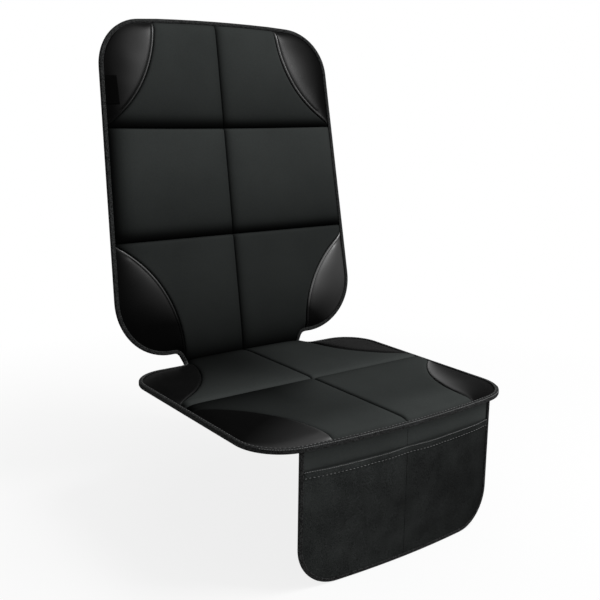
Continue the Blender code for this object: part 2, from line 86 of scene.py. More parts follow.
class Look(Enum):
    """Finishes of the mat."""

    CLOTH = "cloth"
    LEATHERETTE = "leatherette"
    TAPE = "tape"
    LINING = "lining"
    POCKET = "pocket"
    LABEL = "label"
    THREAD = "thread"
    DARK_THREAD = "dark_thread"

    @property
    def slot(self) -> str:
        """Name of the finish's slot; threads take theirs from the tape."""
        return "tape" if "thread" in self.value else self.value


class Hold(Enum):
    HUNG = "hung"
    LAID = "laid"
    STRETCHED = "stretched"


# Lines and distances on a flat panel


def graded(low: float, high: float, fine: Sequence[float], pitch: float) -> list[float]:
    """Place grid lines from low to high, close together near both ends.

    Args:
        low: First line.
        high: Last line.
        fine: Distances from an end at which the close lines lie.
        pitch: Largest spacing in between.

    Returns:
        The lines in rising order.
    """
    half = (high - low) / 2.0
    near = [step for step in fine if step < half]
    lines = {low, high, *(low + step for step in near), *(high - step for step in near)}
    start = low + max(near, default=0.0)
    stop = high - max(near, default=0.0)
    count = max(1, math.ceil((stop - start) / pitch))
    lines.update(start + (stop - start) * index / count for index in range(count + 1))
    ordered = sorted(lines)
    return [line for line, after in zip(ordered, ordered[1:] + [high + 1.0]) if after - line > 1e-5]


def chained(stops: Sequence[float], fine: Sequence[float], pitch: float) -> list[float]:
    """Join graded lines between each pair of stops into one rising list."""
    lines: list[float] = []
    for low, high in zip(stops, stops[1:]):
        lines += graded(low, high, fine, pitch)[:-1]
    return lines + [stops[-1]]


def distance_to(points: np.ndarray, line: Sequence[Point]) -> np.ndarray:
    """Measure how far each point lies from a chain of straight stretches.

    Args:
        points: Array of x, y rows.
        line: The chain's corners.

    Returns:
        One distance for each point.
    """
    chain = np.asarray(line, dtype=float)
    best = np.full(len(points), np.inf)
    for start, end in zip(chain, chain[1:]):
        run = end - start
        length = max(float(run @ run), 1e-12)
        share = np.clip(((points - start) @ run) / length, 0.0, 1.0)
        gap = points - start - share[:, None] * run
        best = np.minimum(best, np.hypot(gap[:, 0], gap[:, 1]))
    return best


def fillet(corners: Sequence[tuple[float, float, float]], step: float = 5.0) -> list[Point]:
    """Round a chain of x, y, radius corners.

    Args:
        corners: The corners; a radius of 0 keeps a corner sharp.
        step: Degrees of turn for each point of a round stretch.

    Returns:
        The points of the rounded chain.
    """
    points = [Vector(corners[0][:2])]
    used = 0.0
    for before, corner, after in zip(corners, corners[1:], corners[2:]):
        tip = Vector(corner[:2])
        into = Vector(before[:2]) - tip
        out = Vector(after[:2]) - tip
        turn = math.pi - into.angle(out)
        tangent = min(corner[2] * math.tan(turn / 2.0), (into.length - used) * 0.98, out.length * 0.98)
        used = tangent
        if tangent < 3e-4:
            points.append(tip)
            continue
        radius = tangent / math.tan(turn / 2.0)
        into.normalize()
        out.normalize()
        centre = tip + (into + out).normalized() * (radius / math.cos(turn / 2.0))
        start = tip + into * tangent - centre
        side = 1.0 if into.cross(out) < 0.0 else -1.0
        steps = max(2, round(math.degrees(turn) / step))
        for index in range(steps + 1):
            spoke = start.copy()
            spoke.rotate(Matrix.Rotation(side * turn * index / steps, 2))
            points.append(centre + spoke)
    points.append(Vector(corners[-1][:2]))
    return [(point.x, point.y) for point in points]


def resample(line: Sequence[Point], pitch: float) -> list[Point]:
    """Place evenly spaced points along a chain, at most a pitch apart."""
    chain = np.asarray(line, dtype=float)
    travel = np.concatenate([[0.0], np.cumsum(np.hypot(*np.diff(chain, axis=0).T))])
    count = max(2, math.ceil(travel[-1] / pitch))
    stops = np.linspace(0.0, travel[-1], count + 1)
    return list(zip(np.interp(stops, travel, chain[:, 0]), np.interp(stops, travel, chain[:, 1])))


def inset_line(line: Sequence[Point], inset: float) -> np.ndarray:
    """Move a chain to its left by inset."""
    chain = np.asarray(line, dtype=float)
    run = np.gradient(chain, axis=0)
    normal = np.stack([-run[:, 1], run[:, 0]], axis=1)
    return chain + normal / np.hypot(*normal.T)[:, None] * inset


def reach_at(chain: np.ndarray, y: float) -> float:
    """Largest x at which a chain passes the height y, or 0."""
    low, high = chain[:-1], chain[1:]
    passes = (np.minimum(low[:, 1], high[:, 1]) <= y) & (y <= np.maximum(low[:, 1], high[:, 1]))
    passes &= np.abs(high[:, 1] - low[:, 1]) > 1e-9
    if not passes.any():
        return 0.0
    low, high = low[passes], high[passes]
    return float(np.max(low[:, 0] + (high[:, 0] - low[:, 0]) * (y - low[:, 1]) / (high[:, 1] - low[:, 1])))


def ease(share: np.ndarray) -> np.ndarray:
    """Smooth step from 0 to 1."""
    clipped = np.clip(share, 0.0, 1.0)
    return clipped * clipped * (3.0 - 2.0 * clipped)


def rumple(points: np.ndarray, size: float, seed: float) -> np.ndarray:
    """Smooth noise between -1 and 1 over the plane, with features of about the given size."""
    return np.array([noise.noise(Vector((x / size, y / size, seed))) for x, y in points])


def falloff(gap: np.ndarray, reach: float | np.ndarray, power: float = 1.0) -> np.ndarray:
    """Fall from 1 at a gap of 0 towards 0 past the reach; a higher power falls more suddenly."""
    return np.exp(-((gap / reach) ** power))


def mirrored(points: np.ndarray) -> np.ndarray:
    """Points with the left half turned over onto the right."""
    return np.stack([np.abs(points[:, 0]), points[:, 1]], axis=1)


def level(height: float) -> PointRule:
    """Make the rule of one height everywhere."""
    return lambda points: np.full(len(points), height)


def raised(rule: PointRule, by: float) -> PointRule:
    """Make the rule of another one's height plus a fixed amount."""
    return lambda points: rule(points) + by


def even_shares(count: int) -> list[float]:
    """Even shares from 0 to 1 in count steps."""
    return [index / count for index in range(count + 1)]


# Building blocks


def add_object(name: str, data: bpy.types.ID) -> bpy.types.Object:
    """Make an object and link it to the scene."""
    made = bpy.data.objects.new(name, data)
    bpy.context.scene.collection.objects.link(made)
    return made


def axes(x: Vector, y: Vector, z: Vector) -> Matrix:
    """Turn whose columns are the three directions."""
    return Matrix((x, y, z)).transposed().to_4x4()


def kept(geometry: Sequence[object], kind: type) -> list:
    """Pick the parts of one kind out of what a bmesh operator made."""
    return [item for item in geometry if isinstance(item, kind)]


@dataclass(frozen=True)
class Plane:
    """Where a flat panel's x, y and height lie in the world.

    Args:
        origin: The panel's 0, 0, 0.
        along: Direction of the panel's y.
        normal: Direction of the panel's height.
        lift: Extra height at x, y.
        slide: Extra y at x, y.
    """

    origin: Vector
    along: Vector
    normal: Vector
    lift: Callable[[float, float], float] = lambda x, y: 0.0
    slide: Callable[[float, float], float] = lambda x, y: 0.0

    def place(self, x: float, y: float, height: float) -> Vector:
        """Give the world position of a point of the panel."""
        base = self.origin + Vector((x, 0.0, 0.0)) + self.along * (y + self.slide(x, y))
        return base + self.normal * (height + self.lift(x, y))


class MeshMaker:
    """Collects flat regions of cloth in one mesh, with the panel's own x and y as its UV map."""

    def __init__(self) -> None:
        """Start with an empty mesh."""
        self.bm = bmesh.new()

    def region(
        self, rows: Sequence[float], across: Callable[[float], Sequence[float]], side: float = 1.0
    ) -> None:
        """Add a grid whose rows lie at the given y.

        Args:
            rows: Y of each row.
            across: Gives the x of every point of a row, the same count for each row.
            side: 1 as given, -1 for the mirror image.
        """
        lines = [across(y) for y in rows]
        count = len(lines[0])
        made = bmesh.ops.create_grid(self.bm, x_segments=count - 1, y_segments=len(rows) - 1, size=0.5)
        for vert in made["verts"]:
            column = round((vert.co.x + 0.5) * (count - 1))
            row = round((vert.co.y + 0.5) * (len(rows) - 1))
            vert.co = (side * lines[row][column], rows[row], 0.0)

    def slide(self, rule: Callable[[float, float], float]) -> None:
        """Move every flat point along y by a rule over x and y."""
        for vert in self.bm.verts:
            vert.co.y += rule(vert.co.x, vert.co.y)

    def thicken(self, high: PointRule, low: PointRule, crease: PointRule | None = None) -> None:
        """Turn the flat cloth into a closed slab.

        Args:
            high: Height of its face.
            low: Height of its rear.
            crease: Painted shade at each point, from 0 to 1; written as an attribute.
        """
        bmesh.ops.remove_doubles(self.bm, verts=self.bm.verts[:], dist=2e-5)
        bmesh.ops.dissolve_degenerate(self.bm, edges=self.bm.edges[:], dist=2e-5)
        layer = self.bm.loops.layers.uv.new(UV_NAME)
        for face in self.bm.faces:
            for loop in face.loops:
                loop[layer].uv = (loop.vert.co.x, loop.vert.co.y)
        bmesh.ops.recalc_face_normals(self.bm, faces=self.bm.faces[:])
        # The painted shade is written as a point attribute.
        if crease:
            mark = self.bm.verts.layers.float.new(PAINTED_SHADE_NAME)
            points = np.array([(vert.co.x, vert.co.y) for vert in self.bm.verts])
            for vert, share in zip(self.bm.verts, crease(points)):
                vert[mark] = share
        self._raise(self.bm.verts[:], high)
        made = bmesh.ops.extrude_face_region(self.bm, geom=self.bm.faces[:], use_keep_orig=True)
        self._raise(kept(made["geom"], bmesh.types.BMVert), low)

    @staticmethod
    def _raise(verts: Sequence[bmesh.types.BMVert], rule: PointRule) -> None:
        """Give points the height of a rule over their x and y."""
        for vert, height in zip(verts, rule(np.array([(vert.co.x, vert.co.y) for vert in verts]))):
            vert.co.z = height

    def piece(self, name: str, plane: Plane) -> bpy.types.Object:
        """Bend the mesh from the flat panel to its place and make it a smooth-shaded object."""
        for vert in self.bm.verts:
            vert.co = plane.place(*vert.co)
        bmesh.ops.recalc_face_normals(self.bm, faces=self.bm.faces[:])
        return new_piece(name, self.bm)


def new_piece(name: str, bm: bmesh.types.BMesh, smooth: bool = True) -> bpy.types.Object:
    """Make an object from a bmesh and free it."""
    mesh = bpy.data.meshes.new(name)
    bm.to_mesh(mesh)
    bm.free()
    if smooth:
        mesh.shade_smooth()
    return add_object(name, mesh)


@dataclass(frozen=True)
class TapeFold:
    """A tape folded over an edge.

    Args:
        lip: How far it reaches in from the edge, above and below.
        height: Thickness of the edge with the tape on it.
        thickness: Thickness of the tape.
    """

    lip: float
    height: float
    thickness: float

    def section(self) -> list[Point]:
        """Inset from the edge and height, all round the folded tape."""
        lip, height, wall = self.lip, self.height, self.thickness
        turn = min(TAPE_TURN, height * 0.4)
        outer = [
            (lip, wall * 0.25),
            (lip - wall * 0.4, 0.0),
            (turn, 0.0),
            (turn * 0.30, turn * 0.25),
            (0.0, turn * 0.85),
            (0.0, height - turn * 0.85),
            (turn * 0.30, height - turn * 0.25),
            (turn, height),
            (lip * 0.6, height + 0.0002),
            (lip - wall * 0.4, height),
            (lip, height - wall * 0.35),
        ]
        inner = [
            (lip, height - wall),
            (wall + 0.0006, height - wall),
            (wall, height - wall - 0.0004),
            (wall, wall + 0.0004),
            (wall + 0.0006, wall),
            (lip, wall),
        ]
        return outer + inner

    def sweep(self, path: Sequence[Point], plane: Plane, name: str, mitre: float = 0.0) -> bpy.types.Object:
        """Run the folded tape along an edge.

        Args:
            path: X and y along the edge, with the panel on its left.
            plane: Where the panel lies.
            name: Name of the piece.
            mitre: Angle of the cut at y = 0 to the panel, or 0 for none.

        Returns:
            The closed piece, with the way along the path and round the section as its UV map.
        """
        section = self.section()
        turns = self._turns(path)
        bm = bmesh.new()
        ring = [bm.verts.new(turns[0] @ Vector((inset, height, 0.0))) for inset, height in section]
        edges = [bm.edges.new(pair) for pair in zip(ring, ring[1:] + ring[:1])]
        rows = [ring]
        for before, after in zip(turns, turns[1:]):
            made = bmesh.ops.extrude_edge_only(bm, edges=edges)
            fresh = kept(made["geom"], bmesh.types.BMVert)
            bmesh.ops.transform(bm, matrix=after @ before.inverted(), verts=fresh)
            known = set(fresh)
            sides = [(vert, edge.other_vert(vert)) for vert in ring for edge in vert.link_edges]
            ahead = {vert: other for vert, other in sides if other in known}
            ring = [ahead[vert] for vert in ring]
            edges = [bm.edges.get(pair) for pair in zip(ring, ring[1:] + ring[:1])]
            rows.append(ring)
        self._map(bm, rows, turns)
        for end in (rows[0], rows[-1]):
            bm.faces.new(end)
        if mitre > 0.0:
            cut = Vector((0.0, -math.sin(mitre), math.cos(mitre)))
            parts = bm.verts[:] + bm.edges[:] + bm.faces[:]
            made = bmesh.ops.bisect_plane(
                bm, geom=parts, dist=1e-6, plane_co=(0.0, 0.0, 0.0), plane_no=cut, clear_outer=True
            )
            bmesh.ops.holes_fill(bm, edges=kept(made["geom_cut"], bmesh.types.BMEdge))
        for vert in bm.verts:
            vert.co = plane.place(*vert.co)
        bmesh.ops.recalc_face_normals(bm, faces=bm.faces[:])
        return new_piece(name, bm)

    @staticmethod
    def _turns(path: Sequence[Point]) -> list[Matrix]:
        """Place and turn of the section at each point of the path."""
        chain = np.asarray(path, dtype=float)
        turns = []
        for (x, y), (step_x, step_y) in zip(chain, np.gradient(chain, axis=0)):
            forward = Vector((step_x, step_y, 0.0)).normalized()
            inward = Vector((-forward.y, forward.x, 0.0))
            turns.append(Matrix.Translation((x, y, 0.0)) @ axes(inward, Vector((0.0, 0.0, 1.0)), forward))
        return turns

    def _map(self, bm: bmesh.types.BMesh, rows: list[list[bmesh.types.BMVert]], turns: list[Matrix]) -> None:
        """Write the way along the path and round the section as the UV map."""
        layer = bm.loops.layers.uv.new(UV_NAME)
        section = self.section()
        girth = [0.0]
        for (x0, z0), (x1, z1) in zip(section, section[1:] + section[:1]):
            girth.append(girth[-1] + math.hypot(x1 - x0, z1 - z0))
        travel = [0.0]
        for before, after in zip(turns, turns[1:]):
            travel.append(travel[-1] + (after.translation - before.translation).length)
        spot = {
            vert: (way, column) for way, ring in zip(travel, rows) for column, vert in enumerate(ring)
        }
        for face in bm.faces:
            columns = {spot[loop.vert][1] for loop in face.loops}
            wraps = columns == {0, len(section) - 1}
            for loop in face.loops:
                way, column = spot[loop.vert]
                loop[layer].uv = (way, girth[-1] if wraps and column == 0 else girth[column])


@dataclass
class StitchBook:
    """Sewing stitches of one look, gathered in one mesh."""

    name: str
    length: float = 0.0026
    pitch: float = 0.0036
    radius: float = 0.00042
    places: list[Matrix] = field(default_factory=list)

    def row(self, line: Sequence[Point], height: PointRule, plane: Plane) -> None:
        """Lay stitches end to end along a line on a panel.

        Args:
            line: X and y along the row.
            height: The cloth's height at x and y.
            plane: Where the panel lies.
        """
        chain = np.asarray(resample(line, self.pitch / 2.0))
        spots = [plane.place(x, y, z) for (x, y), z in zip(chain, height(chain))]
        for start, middle, end in zip(spots[::2], spots[1::2], spots[2::2]):
            forward = (end - start).normalized()
            across = plane.normal.cross(forward).normalized()
            turn = axes(forward, across, forward.cross(across))
            size = Matrix.Diagonal((self.length / 2.0, self.radius, self.radius, 1.0))
            lying = Matrix.Rotation(math.pi / 2.0, 4, "Y")
            self.places.append(Matrix.Translation(middle) @ turn @ size @ lying)

    def piece(self) -> bpy.types.Object:
        """Turn the stitches into one object, each a copy of one thread."""
        bm = bmesh.new()
        bmesh.ops.create_uvsphere(bm, u_segments=6, v_segments=4, radius=1.0)
        thread = np.array([(*vert.co, 1.0) for vert in bm.verts])
        bm.verts.index_update()
        faces = [[vert.index for vert in face.verts] for face in bm.faces]
        bm.free()
        spots = np.vstack([thread @ np.array(place.transposed()) for place in self.places])[:, :3]
        firsts = range(0, len(spots), len(thread))
        copies = [[index + first for index in face] for first in firsts for face in faces]
        mesh = bpy.data.meshes.new(self.name)
        mesh.from_pydata(spots.tolist(), [], copies)
        mesh.shade_smooth()
        return add_object(self.name, mesh)


# Finishes


def math_node(
    tree: bpy.types.NodeTree, operation: str, *values: bpy.types.NodeSocket | float
) -> bpy.types.NodeSocket:
    """Add a Math node; each value is a number or a socket to link from."""
    node = tree.nodes.new("ShaderNodeMath")
    node.operation = operation
    for socket, value in zip(node.inputs, values):
        if isinstance(value, bpy.types.NodeSocket):
            tree.links.new(value, socket)
        else:
            socket.default_value = value
    return node.outputs[0]


class NodeBook:
    """Shader node groups that several finishes share."""

    def __init__(self) -> None:
        """Build each group once."""
        self.weave = self._weave()
        self.mottle = self._mottle()

    @staticmethod
    def _group(name: str, inputs: dict[str, float | None], outputs: Sequence[str]) -> bpy.types.NodeTree:
        """Make a node group with its sockets; an input without a value is a vector."""
        tree = bpy.data.node_groups.new(name, "ShaderNodeTree")
        for label, value in inputs.items():
            kind = "NodeSocketVector" if value is None else "NodeSocketFloat"
            socket = tree.interface.new_socket(name=label, in_out="INPUT", socket_type=kind)
            if value is not None:
                socket.default_value = value
        for label in outputs:
            tree.interface.new_socket(name=label, in_out="OUTPUT", socket_type="NodeSocketFloat")
        return tree

    def _weave(self) -> bpy.types.NodeTree:
        """Threads over and under each other: a height from 0 to 1 over the cloth's own UV map."""
        tree = self._group("woven_threads", {"Vector": None, "Pitch": 0.0009, "Slant": 0.0}, ["Height"])
        source = tree.nodes.new("NodeGroupInput")
        target = tree.nodes.new("NodeGroupOutput")
        split = tree.nodes.new("ShaderNodeSeparateXYZ")
        tree.links.new(source.outputs["Vector"], split.inputs[0])
        x, y = split.outputs["X"], split.outputs["Y"]
        slanted = math_node(tree, "MULTIPLY_ADD", y, source.outputs["Slant"], x)
        waves = []
        for value in (slanted, y):
            turns = math_node(tree, "DIVIDE", value, source.outputs["Pitch"])
            waves.append(math_node(tree, "SINE", math_node(tree, "MULTIPLY", turns, math.pi)))
        crossing = math_node(tree, "MULTIPLY", waves[0], waves[1])
        tree.links.new(math_node(tree, "MULTIPLY_ADD", crossing, 0.5, 0.5), target.inputs["Height"])
        return tree

    def _mottle(self) -> bpy.types.NodeTree:
        """Cloudy and speckled variation from 0 to 1 over Object coordinates."""
        inputs = {"Vector": None, "Clouds": 14.0, "Flecks": 900.0}
        tree = self._group("mottled_cloth", inputs, ["Cloud", "Fleck"])
        source = tree.nodes.new("NodeGroupInput")
        target = tree.nodes.new("NodeGroupOutput")
        for scale, result, detail in (("Clouds", "Cloud", 3.0), ("Flecks", "Fleck", 1.0)):
            variation = tree.nodes.new("ShaderNodeTexNoise")
            variation.inputs["Detail"].default_value = detail
            tree.links.new(source.outputs["Vector"], variation.inputs["Vector"])
            tree.links.new(source.outputs[scale], variation.inputs["Scale"])
            tree.links.new(variation.outputs["Fac"], target.inputs[result])
        return tree


@dataclass(frozen=True)
class Finish:
    """Look of one cloth, leatherette or thread.

    Args:
        look: Which of the mat's finishes it is.
        dark: Colour in the dark parts of the mottle.
        light: Colour in its light parts.
        roughness: Mean roughness.
        specular: Specular level.
        weave_pitch: Width of a thread in metres; 0 for a grain without threads.
        weave_slant: Sideways run of the threads for each metre along.
        relief: Height of the threads or the grain in metres.
        fleck: Share of the colour that follows the fine flecks.
        clouds: Clouds for each metre.
        flecks: Flecks for each metre.
        pile: Spread of roughness over the clouds.
        painted_shade_colour: Colour at full painted shade.
        coat: Weight of the glossy coat, which the painted shade takes away, so that its sheen is a painted
            highlight.
    """

    look: Look
    dark: tuple[float, float, float]
    light: tuple[float, float, float]
    roughness: float
    specular: float = 0.12
    weave_pitch: float = 0.0008
    weave_slant: float = 0.0
    relief: float = 0.00008
    fleck: float = 0.5
    clouds: float = 14.0
    flecks: float = 900.0
    pile: float = 0.10
    painted_shade_colour: tuple[float, float, float] = (0.0012, 0.0012, 0.0012)
    coat: float = 0.0

    def material(self, book: NodeBook) -> bpy.types.Material:
        """Build the finish's material from the shared groups."""
        made = bpy.data.materials.new(f"{self.look.value}_finish")
        made.use_nodes = True
        tree = made.node_tree
        shader = tree.nodes["Principled BSDF"]
        place = tree.nodes.new("ShaderNodeTexCoord")
        mottle = tree.nodes.new("ShaderNodeGroup")
        mottle.node_tree = book.mottle
        mottle.inputs["Clouds"].default_value = self.clouds
        mottle.inputs["Flecks"].default_value = self.flecks
        tree.links.new(place.outputs["Object"], mottle.inputs["Vector"])
        blend = math_node(tree, "MULTIPLY", mottle.outputs["Fleck"], self.fleck)
        blend = math_node(tree, "MULTIPLY_ADD", mottle.outputs["Cloud"], 1.0 - self.fleck, blend)
        ramp = tree.nodes.new("ShaderNodeValToRGB")
        for element, position, colour in zip(ramp.color_ramp.elements, RAMP_STOPS, (self.dark, self.light)):
            element.position = position
            element.color = (*colour, 1.0)
        tree.links.new(blend, ramp.inputs["Fac"])
        # Painted shade: the attribute mixes the colour towards the painted-shade colour and raises the
        # roughness.
        crease = tree.nodes.new("ShaderNodeAttribute")
        crease.attribute_name = PAINTED_SHADE_NAME
        painted_shade_mix = tree.nodes.new("ShaderNodeMix")
        painted_shade_mix.data_type = "RGBA"
        painted_shade_mix.inputs["B"].default_value = (*self.painted_shade_colour, 1.0)
        tree.links.new(crease.outputs["Fac"], painted_shade_mix.inputs["Factor"])
        tree.links.new(ramp.outputs["Color"], painted_shade_mix.inputs["A"])
        tree.links.new(painted_shade_mix.outputs["Result"], shader.inputs["Base Color"])
        smoothest = self.roughness - self.pile / 2.0
        rough = math_node(tree, "MULTIPLY_ADD", mottle.outputs["Cloud"], self.pile, smoothest)
        rise = PAINTED_SHADE_ROUGHNESS - self.roughness
        dulled = math_node(tree, "MULTIPLY_ADD", crease.outputs["Fac"], rise, rough)
        tree.links.new(dulled, shader.inputs["Roughness"])
        bump = tree.nodes.new("ShaderNodeBump")
        bump.inputs["Strength"].default_value = 1.0
        bump.inputs["Distance"].default_value = self.relief
        tree.links.new(self._relief(tree, book, place), bump.inputs["Height"])
        tree.links.new(bump.outputs["Normal"], shader.inputs["Normal"])
        shader.inputs["Specular IOR Level"].default_value = self.specular
        # On the leatherette the coat's weight falls with the painted shade, so that the coat's sheen is a
        # painted highlight.
        if self.coat > 0.0:
            painted_sheen = math_node(tree, "MULTIPLY_ADD", crease.outputs["Fac"], -self.coat, self.coat)
            tree.links.new(painted_sheen, shader.inputs["Coat Weight"])
            shader.inputs["Coat Roughness"].default_value = COAT_ROUGHNESS
            shader.inputs["Coat IOR"].default_value = COAT_IOR
        return made

    def _relief(
        self, tree: bpy.types.NodeTree, book: NodeBook, place: bpy.types.Node
    ) -> bpy.types.NodeSocket:
        """Height of the threads, or of a pebbled grain where there are none."""
        if self.weave_pitch > 0.0:
            weave = tree.nodes.new("ShaderNodeGroup")
            weave.node_tree = book.weave
            weave.inputs["Pitch"].default_value = self.weave_pitch
            weave.inputs["Slant"].default_value = self.weave_slant
            tree.links.new(place.outputs["UV"], weave.inputs["Vector"])
            return weave.outputs["Height"]
        grain = tree.nodes.new("ShaderNodeTexVoronoi")
        grain.inputs["Scale"].default_value = GRAIN_SCALE
        tree.links.new(place.outputs["Object"], grain.inputs["Vector"])
        return grain.outputs["Distance"]


@dataclass
class Wardrobe:
    """The materials, and how a piece is given one."""

    materials: dict[Look, bpy.types.Material]

    def dress(self, piece: bpy.types.Object, look: Look, *nodes: str) -> bpy.types.Object:
        """Give a piece its finish and body, and hide the CAD nodes that it replaces.

        Args:
            piece: The finished piece.
            look: Its finish.
            nodes: CAD nodes that the piece replaces.

        Returns:
            The piece.
        """
        piece.data.materials.clear()
        piece.data.materials.append(self.materials[look])
        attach(piece, BODY)
        look.slot
        if nodes:
            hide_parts(*nodes)
        LOG.info("%s: %d faces", piece.name, len(piece.data.polygons))
        return piece


# The quilted panels

ARC_POINTS = 60           # points along a row of stitches beside an arc
SEARCH_STEP = 0.0004      # step in the search for the place where an arc meets the tape


@dataclass(frozen=True)
class Topstitch:
    """Ridge and sewn groove beside a leatherette corner's seam.

    Args:
        ridge: Distance of the ridge's top from the seam.
        ridge_half: Half the ridge's width.
        ridge_height: The ridge's height.
        shine: How much more polished the ridge is.
        shine_reach: How far from its top.
        groove: Distance of the groove from the seam.
        groove_half: Half the groove's width.
        groove_depth: The groove's depth.
    """

    ridge: float = 0.0027
    ridge_half: float = 0.0024
    ridge_height: float = 0.0006
    # shine: How much more painted sheen the ridge has.
    shine: float = 1.2
    shine_reach: float = 0.0017
    groove: float = 0.0056
    groove_half: float = 0.0007
    groove_depth: float = 0.0009

    def painted_sheen(self, gap: np.ndarray) -> np.ndarray:
        """How many times the plain painted sheen, at a distance from the seam."""
        return 1.0 + self.shine * falloff(gap - self.ridge, self.shine_reach, 2.0)

    def bulge(self, gap: np.ndarray) -> np.ndarray:
        """Height of the ridge at a distance from the seam."""
        return self.ridge_height * np.clip(1.0 - ((gap - self.ridge) / self.ridge_half) ** 2, 0.0, None)

    def dip(self, gap: np.ndarray) -> np.ndarray:
        """Depth of the groove at a distance from the seam."""
        return self.groove_depth * falloff(gap - self.groove, self.groove_half, 2.0)


@dataclass(frozen=True)
class Corner:
    """Seam arc of the leatherette corners at one end of a panel.

    Args:
        x: Sideways distance of the arc's centre from the panel's middle.
        y: The centre's y.
        radius: The arc's radius.
        shift: How far both sides' arcs are sewn to the right.
        topstitched: Whether a ridge and a row of stitches follow the arc.
    """

    x: float
    y: float
    radius: float
    shift: float = 0.0
    topstitched: bool = False

    def on(self, side: float) -> "Corner":
        """The arc of one side, with x counted outwards on that side."""
        return replace(self, x=self.x + side * self.shift, shift=0.0)

    def reach(self, y: float) -> float:
        """X of the arc at y."""
        return self.x - math.sqrt(max(self.radius**2 - (y - self.y) ** 2, 0.0))

    def slant(self, y: float) -> float:
        """How much longer a step across is than the distance that it moves away from the arc."""
        share = min(abs(y - self.y) / self.radius, 0.9)
        return 1.0 / math.sqrt(1.0 - share**2)

    def line(self, low: float, high: float, inset: float = 0.0) -> list[Point]:
        """Points of the arc between two y, moved into the corner by inset."""
        inner = replace(self, radius=self.radius - inset)
        return [(inner.reach(y), y) for y in np.linspace(low, high, ARC_POINTS)]

    def depth(self, points: np.ndarray) -> np.ndarray:
        """How far points lie inside the arc."""
        return self.radius - np.hypot(points[:, 0] - self.x, points[:, 1] - self.y)


@dataclass(frozen=True)
class Gleam:
    """Painted sheen of one leatherette corner, from 0 to 1, which sets the weight of its glossy coat where
    its highlights show.

    Args:
        peak: Sheen beside its seam.
        fade: Share of the way to the rim over which it fades.
        rest: Share of the peak that stays at the rim.
        x: Panel x at which the sheen is as given.
        y: Panel y at which the sheen is as given.
        rise_x: Change for each step to the right.
        rise_y: Change for each step away from the fold.
        step: Length of such a step.
        power: How suddenly the polish fades.
        least: Least share that the changes leave.
        most: Largest share that they reach.
    """

    peak: float
    fade: float
    rest: float = 0.0
    x: float = 0.0
    y: float = 0.0
    rise_x: float = 0.0
    rise_y: float = 0.0
    step: float = 0.05
    power: float = 1.4
    least: float = 0.03
    most: float = 1.7

    def painted_sheen(self, points: np.ndarray, share: np.ndarray) -> np.ndarray:
        """Painted sheen of points that lie at the given shares of the way from the seam to the rim."""
        fall = self.rest + (1.0 - self.rest) * falloff(share, self.fade, self.power)
        rise = (points[:, 0] - self.x) * self.rise_x + (points[:, 1] - self.y) * self.rise_y
        return np.clip(self.peak * fall * np.clip(1.0 + rise / self.step, self.least, self.most), 0.0, 1.0)


@dataclass(frozen=True)
class PanelShape:
    """Sizes of one quilted panel; y runs away from the fold."""

    length: float
    near_width: float
    far_width: float
    near_lift: float
    near_radius: float
    far_radius: float
    far_bow: float
    seams: tuple[float, ...]
    near_corner: Corner
    far_corner: Corner
    gleams: dict[str, Gleam]
    waist: float = 0.242
    notch_run: float = 0.010
    notch_radius: float = 0.012

    def half_outline(self, start: float = 0.0, straight: bool = False) -> list[Point]:
        """Right half of the outer edge, from the fold to the middle of the far edge.

        Args:
            start: Y at which it starts; below 0 it reaches past the fold.
            straight: Whether the bow of the far edge is left out.

        Returns:
            Points of the half outline.
        """
        waist = self.waist / 2.0
        far_side = self.far_width / 2.0
        far = self.length - self.far_bow
        corners = [
            (waist, start - 0.001, 0.0),
            (waist, 0.0, self.notch_radius),
            (waist + self.notch_run, self.near_lift, self.notch_radius),
            (self.near_width / 2.0, self.near_lift, self.near_radius),
            (far_side, far, self.far_radius),
        ]
        for share in reversed(even_shares(6)[:-1]):
            if far_side * share < far_side - self.far_radius:
                rise = 0.0 if straight else self.far_bow * (1.0 - share**2)
                corners.append((far_side * share, far + rise, 0.0))
        return fillet(corners)

    def outline(self, start: float = 0.0) -> list[Point]:
        """Whole outer edge, from the right end of the fold round to its left end."""
        right = self.half_outline(start)
        return right + [(-x, y) for x, y in reversed(right[:-1])]

    def bow_lift(self, x: float, y: float) -> float:
        """How far the bow of the far edge moves a point of the straightened panel."""
        far = self.length - self.far_bow
        weight = float(ease(np.array((y - self.seams[-1]) / (far - self.seams[-1]))))
        return self.far_bow * max(0.0, 1.0 - (2.0 * x / self.far_width) ** 2) * weight


